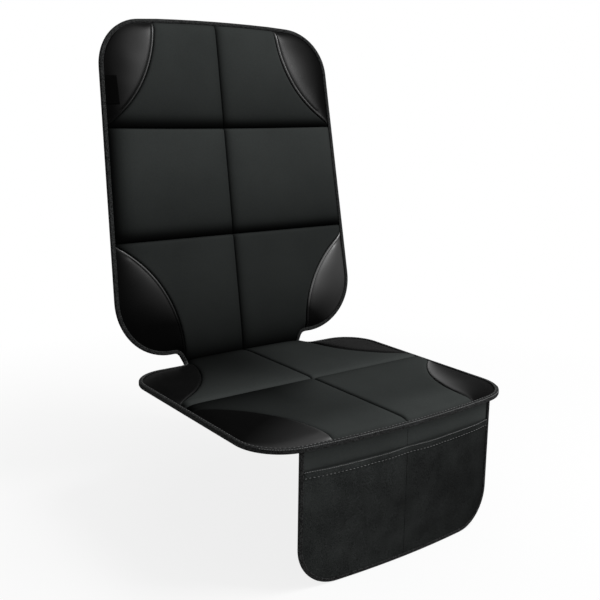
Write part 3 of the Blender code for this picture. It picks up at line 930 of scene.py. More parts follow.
@dataclass(frozen=True)
class Padding:
    """Heights over the underside of a padded panel, and how the cloth sinks at its seams.

    Args:
        top: Height of a cell.
        patch_top: Height of a leatherette corner at its seam.
        patch_swell: How much it swells behind its seam.
        patch_fall: How much of the way to the rim it falls off outwards.
        rim: Height at the edge tape.
        rim_reach: How fast the cloth falls to the rim.
        floor: Lowest height that a seam can pull the cloth to.
        cross_share: Depth of a cross seam as a share of the loft.
        middle_share: Depth of the middle seam as a share of the loft.
        arc_share: Depth of a corner's arc seam as a share of the loft.
        fold_share: Depth of the crease at the fold as a share of the loft.
        wide: Reach of a cross seam on its far side, where the cell hangs over it.
        narrow: Reach on its near side.
        middle_wide: Reach of the middle seam on its right.
        fold_reach: Reach of the crease at the fold.
        sharp_reach: Reach of the tight part of every seam.
        sharp_share: Share of a seam's depth in its tight part.
        rumple: Height of the cloth's unevenness.
        base: Height of the backing sheet's lower face.
        backing: Thickness of the backing sheet.
        pad_base: Height of the padding over the backing sheet's lower face.
        tape_lift: How much higher the mat is where the tape is folded under it.
        tape_reach: Reach of that lift inside the tape.
        swell_reach: Distance over which a leatherette corner swells.
        swell_room: Room that a corner needs for its full swell.
        arc_reach: Reach of the dip of the leatherette at its seam.
        slope_power: How late the leatherette falls off to the rim.
    """

    top: float = 0.0126
    patch_top: float = 0.0122
    patch_swell: float = 0.0012
    patch_fall: float = 0.90
    rim: float = 0.0060
    rim_reach: float = 0.0050
    floor: float = 0.0034
    cross_share: float = 0.82
    middle_share: float = 0.50
    arc_share: float = 0.42
    fold_share: float = 0.80
    wide: float = 0.0085
    narrow: float = 0.0016
    middle_wide: float = 0.0050
    fold_reach: float = 0.0150
    sharp_reach: float = 0.0012
    sharp_share: float = 0.35
    rumple: float = 0.0006
    base: float = 0.0001
    backing: float = 0.0008
    pad_base: float = 0.0009
    tape_lift: float = 0.0014
    tape_reach: float = 0.0015
    swell_reach: float = 0.0035
    swell_room: float = 0.03
    arc_reach: float = 0.0010
    slope_power: float = 1.7

    def sink(self, gap: np.ndarray, far_reach: float, near_reach: float) -> np.ndarray:
        """Share of the full depth that the cloth sinks at a signed distance from a seam."""
        reach = np.where(gap > 0.0, far_reach, near_reach)
        away = np.abs(gap)
        tight = self.sharp_share * falloff(away, self.sharp_reach)
        return tight + (1.0 - self.sharp_share) * falloff(away, reach)


@dataclass(frozen=True)
class Seams:
    """Where a panel's cells begin and end.

    Args:
        start: Y at which the cloth starts, at the fold.
        cross: Y of each cross seam.
        far: Y at which the cloth ends.
    """

    start: float
    cross: tuple[float, ...]
    far: float


@dataclass(frozen=True)
class Zone:
    """A soft zone of painted shade beside a line.

    Args:
        depth: How dark it is on the line, from 0 to 1.
        reach: Distance over which it fades.
        power: How suddenly it fades.
    """

    depth: float | np.ndarray
    reach: float | np.ndarray
    power: float = 1.0

    def keeps(self, gap: np.ndarray) -> np.ndarray:
        """Share of the colour that is left at a distance from the line."""
        return 1.0 - self.depth * falloff(gap, self.reach, self.power)


@dataclass(frozen=True)
class Shade:
    """Painted shade: share of its full colour that a panel's quilted cloth keeps.

    Args:
        fold: Zone at the fold.
        middle: Zone to the right of the middle seam.
        left_rim: Zone at the left rim.
        right_rim: Zone at the right rim.
        end_rim: Zone at the near and far rims.
        side_run: Shares of the half width over which the end rims' zone gives way to a side rim's.
    """

    fold: Zone
    middle: Zone
    left_rim: Zone
    right_rim: Zone = Zone(0.6, 0.0042)
    end_rim: Zone = Zone(0.20, 0.0030)
    side_run: tuple[float, float] = (0.45, 0.80)

    def cells(self, points: np.ndarray, seams: Seams) -> np.ndarray:
        """Share over the cells, before the zones at the fold, the middle seam and the rims."""
        return np.ones(len(points))

    def share(self, points: np.ndarray, seams: Seams, inside: np.ndarray, half_width: float) -> np.ndarray:
        """Work out the share at each point.

        Args:
            points: Array of x, y rows.
            seams: Where the cells lie.
            inside: Each point's distance from the inner edge of the tape.
            half_width: Half the panel's width.

        Returns:
            Shares from 0 to 1.
        """
        x, y = points[:, 0], points[:, 1]
        sheltered = Zone(0.5, self.middle.reach / 2.0)
        clear = self.cells(points, seams)
        clear = clear * np.where(x > 0.0, self.middle.keeps(np.abs(x)), sheltered.keeps(-x))
        clear = clear * self.fold.keeps(y - seams.start)
        side = np.where(x < 0.0, self.left_rim.keeps(inside), self.right_rim.keeps(inside))
        low, high = self.side_run
        beside = ease((np.abs(x) / half_width - low) / (high - low))
        return clear * (side * beside + self.end_rim.keeps(inside) * (1.0 - beside))


@dataclass(frozen=True)
class UprightShade(Shade):
    """Painted shade of an upright panel, whose cells darken downwards and hang over the seam under them.

    Args:
        tops: Share at the top of the row of cells at the fold, and of the other rows.
        drops: How much of it is lost at the foot of that row, and of the other rows.
        drop_reach: Height over which it comes back.
        hang: Zone over a cross seam, on the left.
        hang_right: Share of its reach on the right.
        under: Zone under a cross seam.
    """

    tops: tuple[float, float] = (0.57, 0.79)
    drops: tuple[float, float] = (0.70, 0.64)
    drop_reach: float = 0.085
    hang: Zone = Zone(0.92, 0.0178, 2.8)
    hang_right: float = 0.84
    under: Zone = Zone(0.5, 0.0012)

    def cells(self, points: np.ndarray, seams: Seams) -> np.ndarray:
        """Share over the cells, least at the foot of each."""
        x, y = points[:, 0], points[:, 1]
        above = y - seams.start
        for seam in seams.cross:
            above = np.where(y > seam, y - seam, above)
        top, drop = (np.where(y > seams.cross[0], pair[1], pair[0]) for pair in (self.tops, self.drops))
        clear = top * Zone(drop, self.drop_reach).keeps(above)
        hang = replace(self.hang, reach=self.hang.reach * np.where(x > 0.0, self.hang_right, 1.0))
        for seam in seams.cross:
            over, under = np.clip(y - seam, 0.0, None), np.clip(seam - y, 0.0, None)
            clear = clear * np.where(y > seam, hang.keeps(over), self.under.keeps(under))
        return clear


@dataclass(frozen=True)
class LevelShade(Shade):
    """Painted shade of a level panel, with painted light towards its cross seam and painted shade in front
    of it on the left.

    Args:
        turn: Width over which the left half passes into the right half.
        rear: Share at the fold on the left, and how much more on the right.
        front: Share in front of the seam on the left, and how much more on the right.
        far_run: Distances from the far end over which the front comes to its full colour.
        depth: Depth of the zone in front of the seam, and how much more on the left.
        reach: Its reach, and how much more on the left.
        left_run: Distance from the middle at which the left's values are full.
    """

    turn: float = 0.16
    rear: tuple[float, float] = (0.14, 0.40)
    front: tuple[float, float] = (0.66, 0.07)
    far_run: tuple[float, float] = (0.075, 0.010)
    depth: tuple[float, float] = (0.45, 0.43)
    reach: tuple[float, float] = (0.010, 0.072)
    left_run: float = 0.09

    def cells(self, points: np.ndarray, seams: Seams) -> np.ndarray:
        """Share over the rear and front cells."""
        x, y = points[:, 0], points[:, 1]
        seam = seams.cross[0]
        right = ease(0.5 + x / self.turn)
        rear, front = (base + more * right for base, more in (self.rear, self.front))
        rear = rear + (1.0 - rear) * np.clip(y / seam, 0.0, 1.0) ** 2.5
        left = np.clip(-x / self.left_run, 0.0, 1.0)
        depth, reach = (base + more * left for base, more in (self.depth, self.reach))
        start, stop = self.far_run
        front = front + (1.0 - front) * ease((y - seams.far + start) / (start - stop))
        return np.where(y > seam, front * Zone(depth, reach, 1.2).keeps(np.clip(y - seam, 0.0, None)), rear)


@dataclass
class QuiltedPanel:
    """A quilted panel with its corner patches, underside sheet, edge tape and stitching.

    Args:
        name: First word of its pieces' names.
        shape: Its outline and seams.
        plane: Where it lies.
        half_fold: Half the angle between the two panels.
        shade: How its cloth darkens with painted shade.
        padding: Its heights.
        tape: Its edge tape.
        topstitch: Ridge and groove beside the topstitched arcs.
        hidden: How far inside the outer edge the cloth ends, under the tape.
        start: Y at which the cloth starts at the fold.
        pitch: Largest spacing of its grid.
        seed: Seed of its unevenness.
        fine: Spacings of the grid beside a seam.
        arc_fine: Spacings of the grid beside an arc, which follow the ridge and the groove.
    """

    name: str
    shape: PanelShape
    plane: Plane
    half_fold: float
    shade: Shade
    padding: Padding = field(default_factory=Padding)
    tape: TapeFold = field(default_factory=lambda: TapeFold(0.0068, 0.0075, 0.0012))
    topstitch: Topstitch = field(default_factory=Topstitch)
    hidden: float = 0.0038
    start: float = 0.0040
    pitch: float = 0.0075
    seed: float = 1.0
    fine: tuple[float, ...] = (0.0006, 0.0013, 0.0022, 0.0034, 0.0050, 0.0070, 0.0095, 0.0128, 0.0170)
    arc_fine: tuple[float, ...] = (
        0.0006, 0.0012, 0.0019, 0.0027, 0.0035, 0.0042, 0.0048,
        0.0053, 0.0058, 0.0064, 0.0074, 0.0090, 0.0115, 0.0150,
    )

    def __post_init__(self) -> None:
        """Work out the lines that every piece shares."""
        self.far = self.shape.length - self.shape.far_bow - self.hidden
        self.seams = Seams(self.start, self.shape.seams, self.far)
        self.edge = self.shape.half_outline()
        self.cover_edge = inset_line(self.shape.half_outline(-0.01, straight=True), self.hidden)
        self.pad_low = raised(self.underside, self.padding.pad_base)

    def corners(self, side: float) -> tuple[Corner, Corner]:
        """Near and far corner arcs of one side."""
        return self.shape.near_corner.on(side), self.shape.far_corner.on(side)

    def arc_x(self, corner: Corner, y: float) -> float:
        """X of a corner's arc on the straightened row y."""
        return corner.reach(y + self.shape.bow_lift(corner.reach(y), y))

    def cover_side(self, y: float) -> float:
        """X at which cloth ends under the edge tape on the straightened row y."""
        return reach_at(self.cover_edge, y)

    def meets(self, corner: Corner, y: float, step: float) -> float:
        """Y at which an arc runs under the edge tape, searched from y in the direction of step."""
        while self.arc_x(corner, y) < self.cover_side(y) and self.start < y < self.far:
            y += step
        return min(max(y, self.start), self.far)

    @staticmethod
    def outwards(points: np.ndarray, side: float) -> np.ndarray:
        """Points with x counted outwards on one side."""
        return np.stack([points[:, 0] * side, points[:, 1]], axis=1)

    def inside(self, points: np.ndarray) -> np.ndarray:
        """Distance of points from the inner edge of the tape, 0 under it."""
        return np.clip(distance_to(mirrored(points), self.edge) - self.tape.lip, 0.0, None)

    def underside(self, points: np.ndarray) -> np.ndarray:
        """Height of the backing sheet's lower face, lifted where the tape is folded under it."""
        pad = self.padding
        return pad.base + pad.tape_lift * falloff(self.inside(points), pad.tape_reach)

    def crown(self, top: float | np.ndarray, inside: np.ndarray) -> np.ndarray:
        """Height that falls from top to the rim at the tape."""
        pad = self.padding
        return pad.rim + (top - pad.rim) * (1.0 - falloff(inside, pad.rim_reach))

    def cloth_height(self, points: np.ndarray) -> np.ndarray:
        """Height of the quilted cloth at each x, y."""
        pad = self.padding
        full = 1.0 - pad.middle_share * pad.sink(points[:, 0], pad.middle_wide, pad.narrow)
        for seam in self.shape.seams:
            full *= 1.0 - pad.cross_share * pad.sink(points[:, 1] - seam, pad.wide, pad.narrow)
        full *= 1.0 - pad.fold_share * pad.sink(points[:, 1] - self.start, pad.fold_reach, pad.fold_reach)
        for side in (-1.0, 1.0):
            outward = self.outwards(points, side)
            for corner in self.corners(side):
                gap = np.where(outward[:, 0] > 0.0, np.abs(corner.depth(outward)), 1.0)
                full *= 1.0 - pad.arc_share * pad.sink(gap, pad.narrow, pad.narrow)
        wave = rumple(points, 0.06, self.seed) + 0.4 * rumple(points, 0.02, self.seed + 7.0)
        high = self.crown(pad.top, self.inside(points)) + wave * pad.rumple * full
        height = pad.floor + (high - pad.floor) * full
        return np.minimum(height, points[:, 1] * math.tan(self.half_fold))

    def crease(self, points: np.ndarray) -> np.ndarray:
        """Painted shade of the quilted cloth at each point, from 0 to 1."""
        return 1.0 - self.shade.share(points, self.seams, self.inside(points), self.shape.far_width / 2.0)

    def sewn(self, points: np.ndarray) -> list[tuple[Corner, np.ndarray, np.ndarray]]:
        """Each corner arc, the points with x counted outwards on its side, and which lie inside it."""
        found = []
        for side in (-1.0, 1.0):
            outward = self.outwards(points, side)
            for corner in self.corners(side):
                found.append((corner, outward, (outward[:, 0] > 0.0) & (corner.depth(outward) > -1e-4)))
        return found

    def corner_painted_shade(self, points: np.ndarray, gleam: Gleam) -> np.ndarray:
        """Painted shade of each point of a leatherette corner, from 0 to 1, where its painted sheen is
        missing; least on the ridge at its seam.
        """
        inside = self.inside(points)
        painted_sheen = np.zeros(len(points))
        for corner, outward, within in self.sewn(points):
            gap = np.clip(corner.depth(outward), 0.0, None)
            here = gleam.painted_sheen(points, gap / np.maximum(gap + inside, 1e-6))
            if corner.topstitched:
                here = here * self.topstitch.painted_sheen(gap)
            painted_sheen = np.where(within, here, painted_sheen)
        return 1.0 - np.clip(painted_sheen, 0.0, 1.0)

    def patch_height(self, points: np.ndarray) -> np.ndarray:
        """Height of the leatherette at each x, y."""
        pad, sewing = self.padding, self.topstitch
        inside = self.inside(points)
        height = np.full(len(points), pad.patch_top)
        for corner, outward, within in self.sewn(points):
            gap = np.clip(corner.depth(outward), 0.0, None)
            room = np.maximum(gap + inside, 1e-6)
            behind = np.clip(gap - (sewing.groove if corner.topstitched else 0.0), 0.0, None)
            swell = pad.patch_swell * (1.0 - falloff(behind, pad.swell_reach))
            swell = swell * np.clip(room / pad.swell_room, 0.0, 1.0)
            outer = np.clip(gap / room, 0.0, 1.0) ** pad.slope_power
            slope = (pad.patch_top - pad.rim) * pad.patch_fall * outer
            change = swell - slope
            change -= pad.arc_share * (pad.patch_top - pad.floor) * falloff(gap, pad.arc_reach)
            if corner.topstitched:
                change += sewing.bulge(gap)
                change -= sewing.dip(gap)
            height = np.where(within, height + change, height)
        height = self.crown(height, inside)
        return height + rumple(points, 0.04, self.seed + 3.0) * pad.rumple * np.clip(inside / 0.02, 0.0, 1.0)

    def quilt(self) -> bpy.types.Object:
        """Quilted cloth with the padding that it covers, as one closed piece."""
        rows = chained([self.start, *self.shape.seams, self.far], self.fine, self.pitch)
        shares = even_shares(16)[1:-1]
        maker = MeshMaker()
        for side in (-1.0, 1.0):

            def across(y: float) -> list[float]:
                """X of the row's points, from the middle out to the arc or the tape."""
                end, slant = self.cover_side(y), 1.0
                for corner in self.corners(side):
                    if abs(y - corner.y) < corner.radius and self.arc_x(corner, y) < end:
                        end, slant = self.arc_x(corner, y), corner.slant(y)
                low = [0.0, *self.fine]
                high = [end - step * slant for step in reversed(self.fine)]
                return low + [low[-1] + (high[0] - low[-1]) * share for share in shares] + high + [end]

            maker.region(rows, across, side)
        maker.slide(self.shape.bow_lift)
        maker.thicken(self.cloth_height, self.pad_low, self.crease)
        return maker.piece(f"{self.name}_quilt", self.plane)

    def patch(self, near: bool, side: float, label: str) -> bpy.types.Object:
        """One leatherette corner, padded like the cloth."""
        corner = self.corners(side)[0 if near else 1]
        inner = self.shape.near_lift + self.hidden + 0.002
        if near:
            low, high = self.meets(corner, inner, -SEARCH_STEP), self.meets(corner, inner, SEARCH_STEP)
        else:
            low, high = self.meets(corner, self.far - 0.012, -SEARCH_STEP), self.far
        steps = (0.0004, 0.0009, 0.0016, 0.0026, 0.004, 0.006, 0.0085, 0.012)
        rows = chained([low, inner, high] if near else [low, high], steps, 0.0055)
        shares = even_shares(16)[1:]

        def across(y: float) -> list[float]:
            """X of the row's points, from the arc out to the tape."""
            start = self.arc_x(corner, y)
            end = max(self.cover_side(y), start + 1e-6)
            scale = min(corner.slant(y), 0.6 * (end - start) / self.arc_fine[-1])
            lines = [start] + [start + step * scale for step in self.arc_fine]
            return lines + [lines[-1] + (end - lines[-1]) * share for share in shares]

        maker = MeshMaker()
        maker.region(rows, across, side)
        maker.slide(self.shape.bow_lift)
        gleam = self.shape.gleams[label]
        # The corner's painted shade and painted sheen go into its attribute.
        maker.thicken(self.patch_height, self.pad_low, lambda p: self.corner_painted_shade(p, gleam))
        return maker.piece(f"{self.name}_corner_{label}", self.plane)

    def backing(self) -> bpy.types.Object:
        """Plain sheet under the padding."""
        inner = self.shape.near_lift + self.hidden
        rows = chained([0.0012, inner, self.far], self.fine, self.pitch)
        shares = even_shares(24)
        maker = MeshMaker()
        for side in (-1.0, 1.0):
            maker.region(rows, lambda y: [max(self.cover_side(y), 0.05) * share for share in shares], side)
        maker.slide(self.shape.bow_lift)
        maker.thicken(raised(self.underside, self.padding.backing), self.underside)
        return maker.piece(f"{self.name}_backing", self.plane)

    def edge_tape(self) -> bpy.types.Object:
        """Tape folded over the edge, cut off at the fold."""
        path = resample(self.shape.outline(-0.006), EDGE_PITCH)
        return self.tape.sweep(path, self.plane, f"{self.name}_edge_tape", self.half_fold)

    def along_edge(self, inset: float) -> np.ndarray:
        """Line inside the outer edge, clear of the fold."""
        return inset_line(resample(self.shape.outline(0.008), EDGE_PITCH), inset)

    def edge_stitches(self, book: StitchBook) -> None:
        """Sew the edge tape down, near its inner edge."""
        line = self.along_edge(self.tape.lip - STITCH_INSET)
        book.row(line, level(self.tape.height + ON_TAPE), self.plane)

    def front_edge_highlight(self, book: StitchBook) -> None:
        """Lay a close row of pale stitches along the tape's outer edge at the far end, a painted highlight
        along its rounded edge.
        """
        line = self.along_edge(0.0006)
        line = line[line[:, 1] > self.shape.length - 0.045]
        book.row(line, level(self.tape.height - 0.0006), self.plane)

    def corner_stitches(self, book: StitchBook) -> None:
        """Sew along the topstitched arcs."""
        for side in (-1.0, 1.0):
            for corner, near in zip(self.corners(side), (True, False)):
                if not corner.topstitched:
                    continue
                inner = self.shape.near_lift + self.tape.lip if near else self.shape.length - 0.014
                step = SEARCH_STEP if near else -SEARCH_STEP
                other = self.meets(corner, inner + step * 40.0, step) - step * 15.0
                low, high = sorted((inner, other))
                line = [(side * x, y) for x, y in corner.line(low, high, self.topstitch.groove)]
                book.row(line, raised(self.patch_height, ON_CLOTH), self.plane)


# The flap


@dataclass
class Flap:
    """The flap that hangs from the seat's front edge, with its two pockets; y is 0 at its top.

    Args:
        plane: Where it lies.
        width: Its width.
        height: Its height.
        radius: Radius of its lower corners.
        mouth: Y of the pockets' mouth.
        hem: Height of the folded band at the mouth.
        belly: How far a pocket bulges.
        wrinkle: Height of the pockets' wrinkles.
        cloth: Height of the flap's own cloth.
        cloth_wall: Its thickness.
        ripple: Height of its ripples.
        pocket: Height of the pocket cloth at its seams.
        pocket_wall: Its thickness.
        hem_wall: Thickness of the folded band.
        full_run: Distance from an edge or the seam at which a pocket bulges fully.
        tape: Tape along its sides and foot.
        hidden: How far inside the outer edge the cloth ends, under the tape.
    """

    plane: Plane
    width: float = 0.364
    height: float = 0.200
    radius: float = 0.060
    mouth: float = -0.029
    hem: float = 0.0105
    belly: float = 0.0020
    wrinkle: float = 0.0012
    cloth: float = 0.0023
    cloth_wall: float = 0.0011
    ripple: float = 0.00025
    pocket: float = 0.0035
    pocket_wall: float = 0.0008
    hem_wall: float = 0.0009
    full_run: float = 0.035
    tape: TapeFold = field(default_factory=lambda: TapeFold(0.0060, 0.0045, 0.0008))
    hidden: float = 0.0030

    def half_outline(self) -> list[Point]:
        """Right half of the outer edge, from the middle of its foot to its top."""
        side = self.width / 2.0
        return fillet([(0.0, -self.height, 0.0), (side, -self.height, self.radius), (side, 0.0, 0.0)])

    def outline(self) -> list[Point]:
        """Outer edge from the left top round the foot to the right top."""
        right = self.half_outline()
        return [(-x, y) for x, y in reversed(right[1:])] + right

    def stand_off(self, points: np.ndarray) -> np.ndarray:
        """How far the pocket cloth stands off the flap."""
        edge = np.clip(distance_to(mirrored(points), self.half_outline()) - self.tape.lip - 0.004, 0.0, None)
        seam = np.abs(points[:, 0]) - 0.0025
        drop = (points[:, 1] + self.height - 0.02) / (self.height + self.mouth - 0.05)
        crease = 0.5 + 0.5 * rumple(points * (1.0, 0.35), 0.035, 4.0) + 0.40 * rumple(points, 0.011, 9.0)
        full = ease(edge / self.full_run) * ease(seam / self.full_run)
        near = ease(edge / 0.02) * ease(seam / 0.012)
        return self.belly * full * ease(drop) + self.wrinkle * np.clip(crease, 0.0, None) * near

    def sheet_piece(
        self,
        name: str,
        rows: Sequence[float],
        high: PointRule,
        low: PointRule,
        inset: float | None = None,
        crease: bool = False,
    ) -> bpy.types.Object:
        """Make one layer of cloth that spans the flap.

        Args:
            name: Name of the piece.
            rows: Y of each row.
            high: Height of its face.
            low: Height of its rear face.
            inset: How far it ends inside the flap's edge; by default it is hidden by the tape.
            crease: Whether it takes the pockets' painted shade.

        Returns:
            The piece.
        """
        edge = inset_line(self.half_outline(), inset or self.hidden)
        shares = even_shares(44)
        maker = MeshMaker()
        for side in (-1.0, 1.0):
            maker.region(rows, lambda y: [max(reach_at(edge, y), 0.02) * share for share in shares], side)
        maker.thicken(high, low, self.crease if crease else None)
        return maker.piece(name, self.plane)

    def crease(self, points: np.ndarray) -> np.ndarray:
        """Painted shade of the pocket cloth, from 0 to 1, darker to the right and downwards."""
        across = 0.5 + points[:, 0] / self.width
        down = np.clip((self.mouth - points[:, 1]) / 0.06, 0.0, 1.0)
        return 0.46 * ease(across) + 0.20 * down

    def cloth_rows(self, high: float) -> list[float]:
        """Rows from the foot's hidden edge up to high."""
        fine = (0.0006, 0.0014, 0.0024, 0.0040, 0.0062, 0.0090, 0.0130)
        return graded(-self.height + self.hidden, high, fine, 0.0048)

    def cloth_height(self, points: np.ndarray) -> np.ndarray:
        """Height of the flap's own cloth, with soft ripples below the seat's edge."""
        return self.cloth + rumple(points * (1.0, 0.4), 0.05, 2.0) * self.ripple

    def pocket_height(self, points: np.ndarray) -> np.ndarray:
        """Height of the pocket cloth's face."""
        return self.pocket + self.stand_off(points)

    def hem_height(self, points: np.ndarray) -> np.ndarray:
        """Height of the folded hem's face, rounded at its upper and lower edge."""
        level = np.stack([points[:, 0], np.full(len(points), self.mouth)], axis=1)
        across = np.clip((self.mouth - points[:, 1]) / self.hem, 0.0, 1.0)
        crown = self.hem_wall * np.clip(1.0 - (2.0 * across - 1.0) ** 6, 0.0, 1.0)
        return self.pocket_height(np.where(across[:, None] > 0.0, points, level)) + 0.0001 + crown

    def build(self, wardrobe: Wardrobe, pale: StitchBook, loose: StitchBook, dark: StitchBook) -> None:
        """Make the flap's pieces.

        Args:
            wardrobe: Materials of the pieces.
            pale: Receives the close pale stitches at the pockets' mouth, a painted highlight along the hem's
                folded edge.
            loose: Receives the spaced stitches of the hem.
            dark: Receives the stitches of the tape.
        """
        rows = self.cloth_rows(0.0)
        rear = raised(self.cloth_height, -self.cloth_wall)
        cloth = self.sheet_piece("flap_cloth", rows, self.cloth_height, rear)
        wardrobe.dress(cloth, Look.CLOTH, "flap_sheet")
        rows = self.cloth_rows(self.mouth)
        rear = raised(self.pocket_height, -self.pocket_wall)
        pocket = self.sheet_piece("flap_pockets", rows, self.pocket_height, rear, crease=True)
        wardrobe.dress(pocket, Look.POCKET, "pocket_panel")
        shares = (1.0, 0.97, 0.9, 0.75, 0.5, 0.25, 0.1, 0.03, -0.05)
        rows = [self.mouth - self.hem * share for share in shares]
        inset = self.tape.lip - 0.0004
        rear = raised(self.pocket_height, 0.00004)
        hem = self.sheet_piece("pocket_hem_band", rows, self.hem_height, rear, inset, crease=True)
        wardrobe.dress(hem, Look.POCKET, "pocket_hem")
        edge = resample(self.outline(), EDGE_PITCH)
        tape = self.tape.sweep(edge, self.plane, "flap_edge_tape")
        wardrobe.dress(tape, Look.TAPE, "flap_binding")
        span = self.width / 2.0 - self.tape.lip
        # The pale close row at the mouth is a painted highlight along the hem's folded edge; the spaced row
        # is the hem's stitching.
        for book, share in ((pale, 0.08), (loose, 0.90)):
            y = self.mouth - self.hem * share
            book.row([(-span, y), (span, y)], raised(self.hem_height, ON_TAPE), self.plane)
        divider = [(0.0, -self.height + self.tape.lip), (0.0, self.mouth - self.hem)]
        dark.row(divider, raised(self.pocket_height, ON_CLOTH), self.plane)
        middle = [(0.0, self.mouth + 0.001), (0.0, -0.002)]
        dark.row(middle, raised(self.cloth_height, ON_TAPE), self.plane)
        line = inset_line(edge, self.tape.lip - STITCH_INSET)
        dark.row(line, level(self.tape.height + ON_TAPE), self.plane)
        area = self.width * self.height - (2.0 - math.pi / 2.0) * self.radius**2
        area += self.width * self.mouth


# The whole mat

FLAP_THICKNESS = 0.0045
FLAP_GAP = 0.0003         # air between the seat's underside and the flap's top


@dataclass
class Mat:
    """Both panels, the flap and what is sewn on them.

    Args:
        wardrobe: Materials of the pieces.
        recline: Degrees by which the back leans from upright.
        dish: How far the back's side edges stand forward of its middle.
        flap_setback: How far the flap's face lies behind the seat's front edge.
        back_shape: Outline and seams of the back.
        seat_shape: Outline and seams of the seat.
    """

    wardrobe: Wardrobe
    recline: float = 9.5
    dish: float = 0.0172
    flap_setback: float = 0.004
    back_shape: PanelShape = PanelShape(
        length=0.591,
        near_width=0.493,
        far_width=0.453,
        near_lift=0.0205,
        near_radius=0.097,
        far_radius=0.086,
        far_bow=0.012,
        seams=(0.2156, 0.4036),
        near_corner=Corner(0.3425, 0.0225, 0.2135, 0.010, True),
        far_corner=Corner(0.330, 0.588, 0.208, 0.0, True),
        # Painted sheen of each leatherette corner, placed where its highlights show.
        gleams={
            "upper_left": Gleam(0.17, 0.44, 0.02, x=-0.14, y=0.52, rise_y=0.52),
            "upper_right": Gleam(0.30, 0.34, 0.01, x=0.15, y=0.52, rise_y=0.26),
            "lower_left": Gleam(0.20, 0.42, 0.0, x=-0.18, y=0.127, rise_y=0.90),
            "lower_right": Gleam(1.00, 0.30, 0.28, x=0.18, y=0.127, rise_x=0.50, rise_y=0.50),
        },
    )
    seat_shape: PanelShape = PanelShape(
        length=0.446,
        near_width=0.482,
        far_width=0.482,
        near_lift=0.0293,
        near_radius=0.063,
        far_radius=0.072,
        far_bow=0.0205,
        seams=(0.2146,),
        near_corner=Corner(0.333, 0.0135, 0.211),
        far_corner=Corner(0.350, 0.420, 0.215, 0.006),
        # Painted sheen of each leatherette corner, placed where its highlights show.
        gleams={
            "rear_left": Gleam(0.11, 0.90, 0.05),
            "rear_right": Gleam(0.055, 1.50, 0.30),
            "front_left": Gleam(0.21, 1.80, 0.60, x=-0.185, y=0.380, rise_x=0.60, rise_y=1.20),
            "front_right": Gleam(0.44, 0.27, 0.05, x=0.16, y=0.35, rise_y=-0.32),
        },
    )

    def __post_init__(self) -> None:
        """Work out the fold."""
        self.fold_y = self.seat_shape.seams[0]
        self.half_fold = math.radians(90.0 + self.recline) / 2.0

    def dish_at(self, x: float) -> float:
        """How far the back stands forward at x."""
        return self.dish * (2.0 * x / self.back_shape.near_width) ** 2

    def back(self) -> QuiltedPanel:
        """The upright panel."""
        lean = math.radians(self.recline)
        plane = Plane(
            origin=Vector((0.0, self.fold_y, 0.0)),
            along=Vector((0.0, math.sin(lean), math.cos(lean))),
            normal=Vector((0.0, -math.cos(lean), math.sin(lean))),
            lift=lambda x, y: self.dish_at(x),
        )
        # Painted shade of the back's cloth.
        shade = UprightShade(Zone(0.90, 0.020, 1.4), Zone(0.66, 0.0082, 1.3), Zone(0.92, 0.0235, 1.7))
        return QuiltedPanel("back", self.back_shape, plane, self.half_fold, shade, seed=3.0)

    def seat(self) -> QuiltedPanel:
        """The flat panel."""
        reach = self.seat_shape.near_lift
        plane = Plane(
            origin=Vector((0.0, self.fold_y, 0.0)),
            along=Vector((0.0, -1.0, 0.0)),
            normal=Vector((0.0, 0.0, 1.0)),
            slide=lambda x, y: self.dish_at(x) * max(0.0, 1.0 - max(y, 0.0) / reach),
        )
        padding = Padding(narrow=0.0032, wide=0.0032, middle_wide=0.0024)
        # Painted shade of the seat's cloth, with painted light towards its cross seam.
        shade = LevelShade(Zone(0.90, 0.016, 1.4), Zone(0.66, 0.0026, 1.3), Zone(0.92, 0.0080, 1.7))
        return QuiltedPanel("seat", self.seat_shape, plane, self.half_fold, shade, padding, seed=11.0)

    def flap(self) -> Flap:
        """The hanging flap."""
        shape = self.seat_shape
        front = self.fold_y - shape.length + self.flap_setback
        plane = Plane(
            origin=Vector((0.0, front + FLAP_THICKNESS, -FLAP_GAP)),
            along=Vector((0.0, 0.0, 1.0)),
            normal=Vector((0.0, -1.0, 0.0)),
            lift=lambda x, y: -shape.far_bow * (2.0 * x / shape.far_width) ** 2,
        )
        return Flap(plane)

    def build_panel(self, panel: QuiltedPanel, ends: tuple[str, str], hold: Hold) -> None:
        """Make one quilted panel's pieces.

        Args:
            panel: The panel.
            ends: Words for its near and far end in the nodes' names.
            hold: How its backing sheet is held; not used.
        """
        pad = self.wardrobe.dress(panel.quilt(), Look.CLOTH, f"{panel.name}_pad")
        for near, word in zip((True, False), ends):
            for side, hand in ((1.0, "right"), (-1.0, "left")):
                label = f"{word}_{hand}"
                piece = panel.patch(near, side, label)
                self.wardrobe.dress(piece, Look.LEATHERETTE, f"{panel.name}_patch_{label}")
        self.wardrobe.dress(panel.edge_tape(), Look.TAPE, f"{panel.name}_binding")
        backing = self.wardrobe.dress(panel.backing(), Look.LINING, f"{panel.name}_lining")
        stretches = zip(panel.edge, panel.edge[1:])
        area = sum((x0 + x1) * (y1 - y0) for (x0, y0), (x1, y1) in stretches)

    def label(self, panel: QuiltedPanel) -> None:
        """Make the small bare tab that is sewn under the edge tape on the left."""
        middle, height, width = 0.4653, 0.047, 0.026
        outer = -reach_at(np.asarray(panel.edge), middle) + panel.tape.lip - 0.004
        fine = (0.0004, 0.001, 0.002)
        rows = graded(middle - height / 2.0, middle + height / 2.0, fine, 0.004)
        lines = graded(outer, outer + width, fine, 0.003)
        maker = MeshMaker()
        maker.region(rows, lambda y: lines)

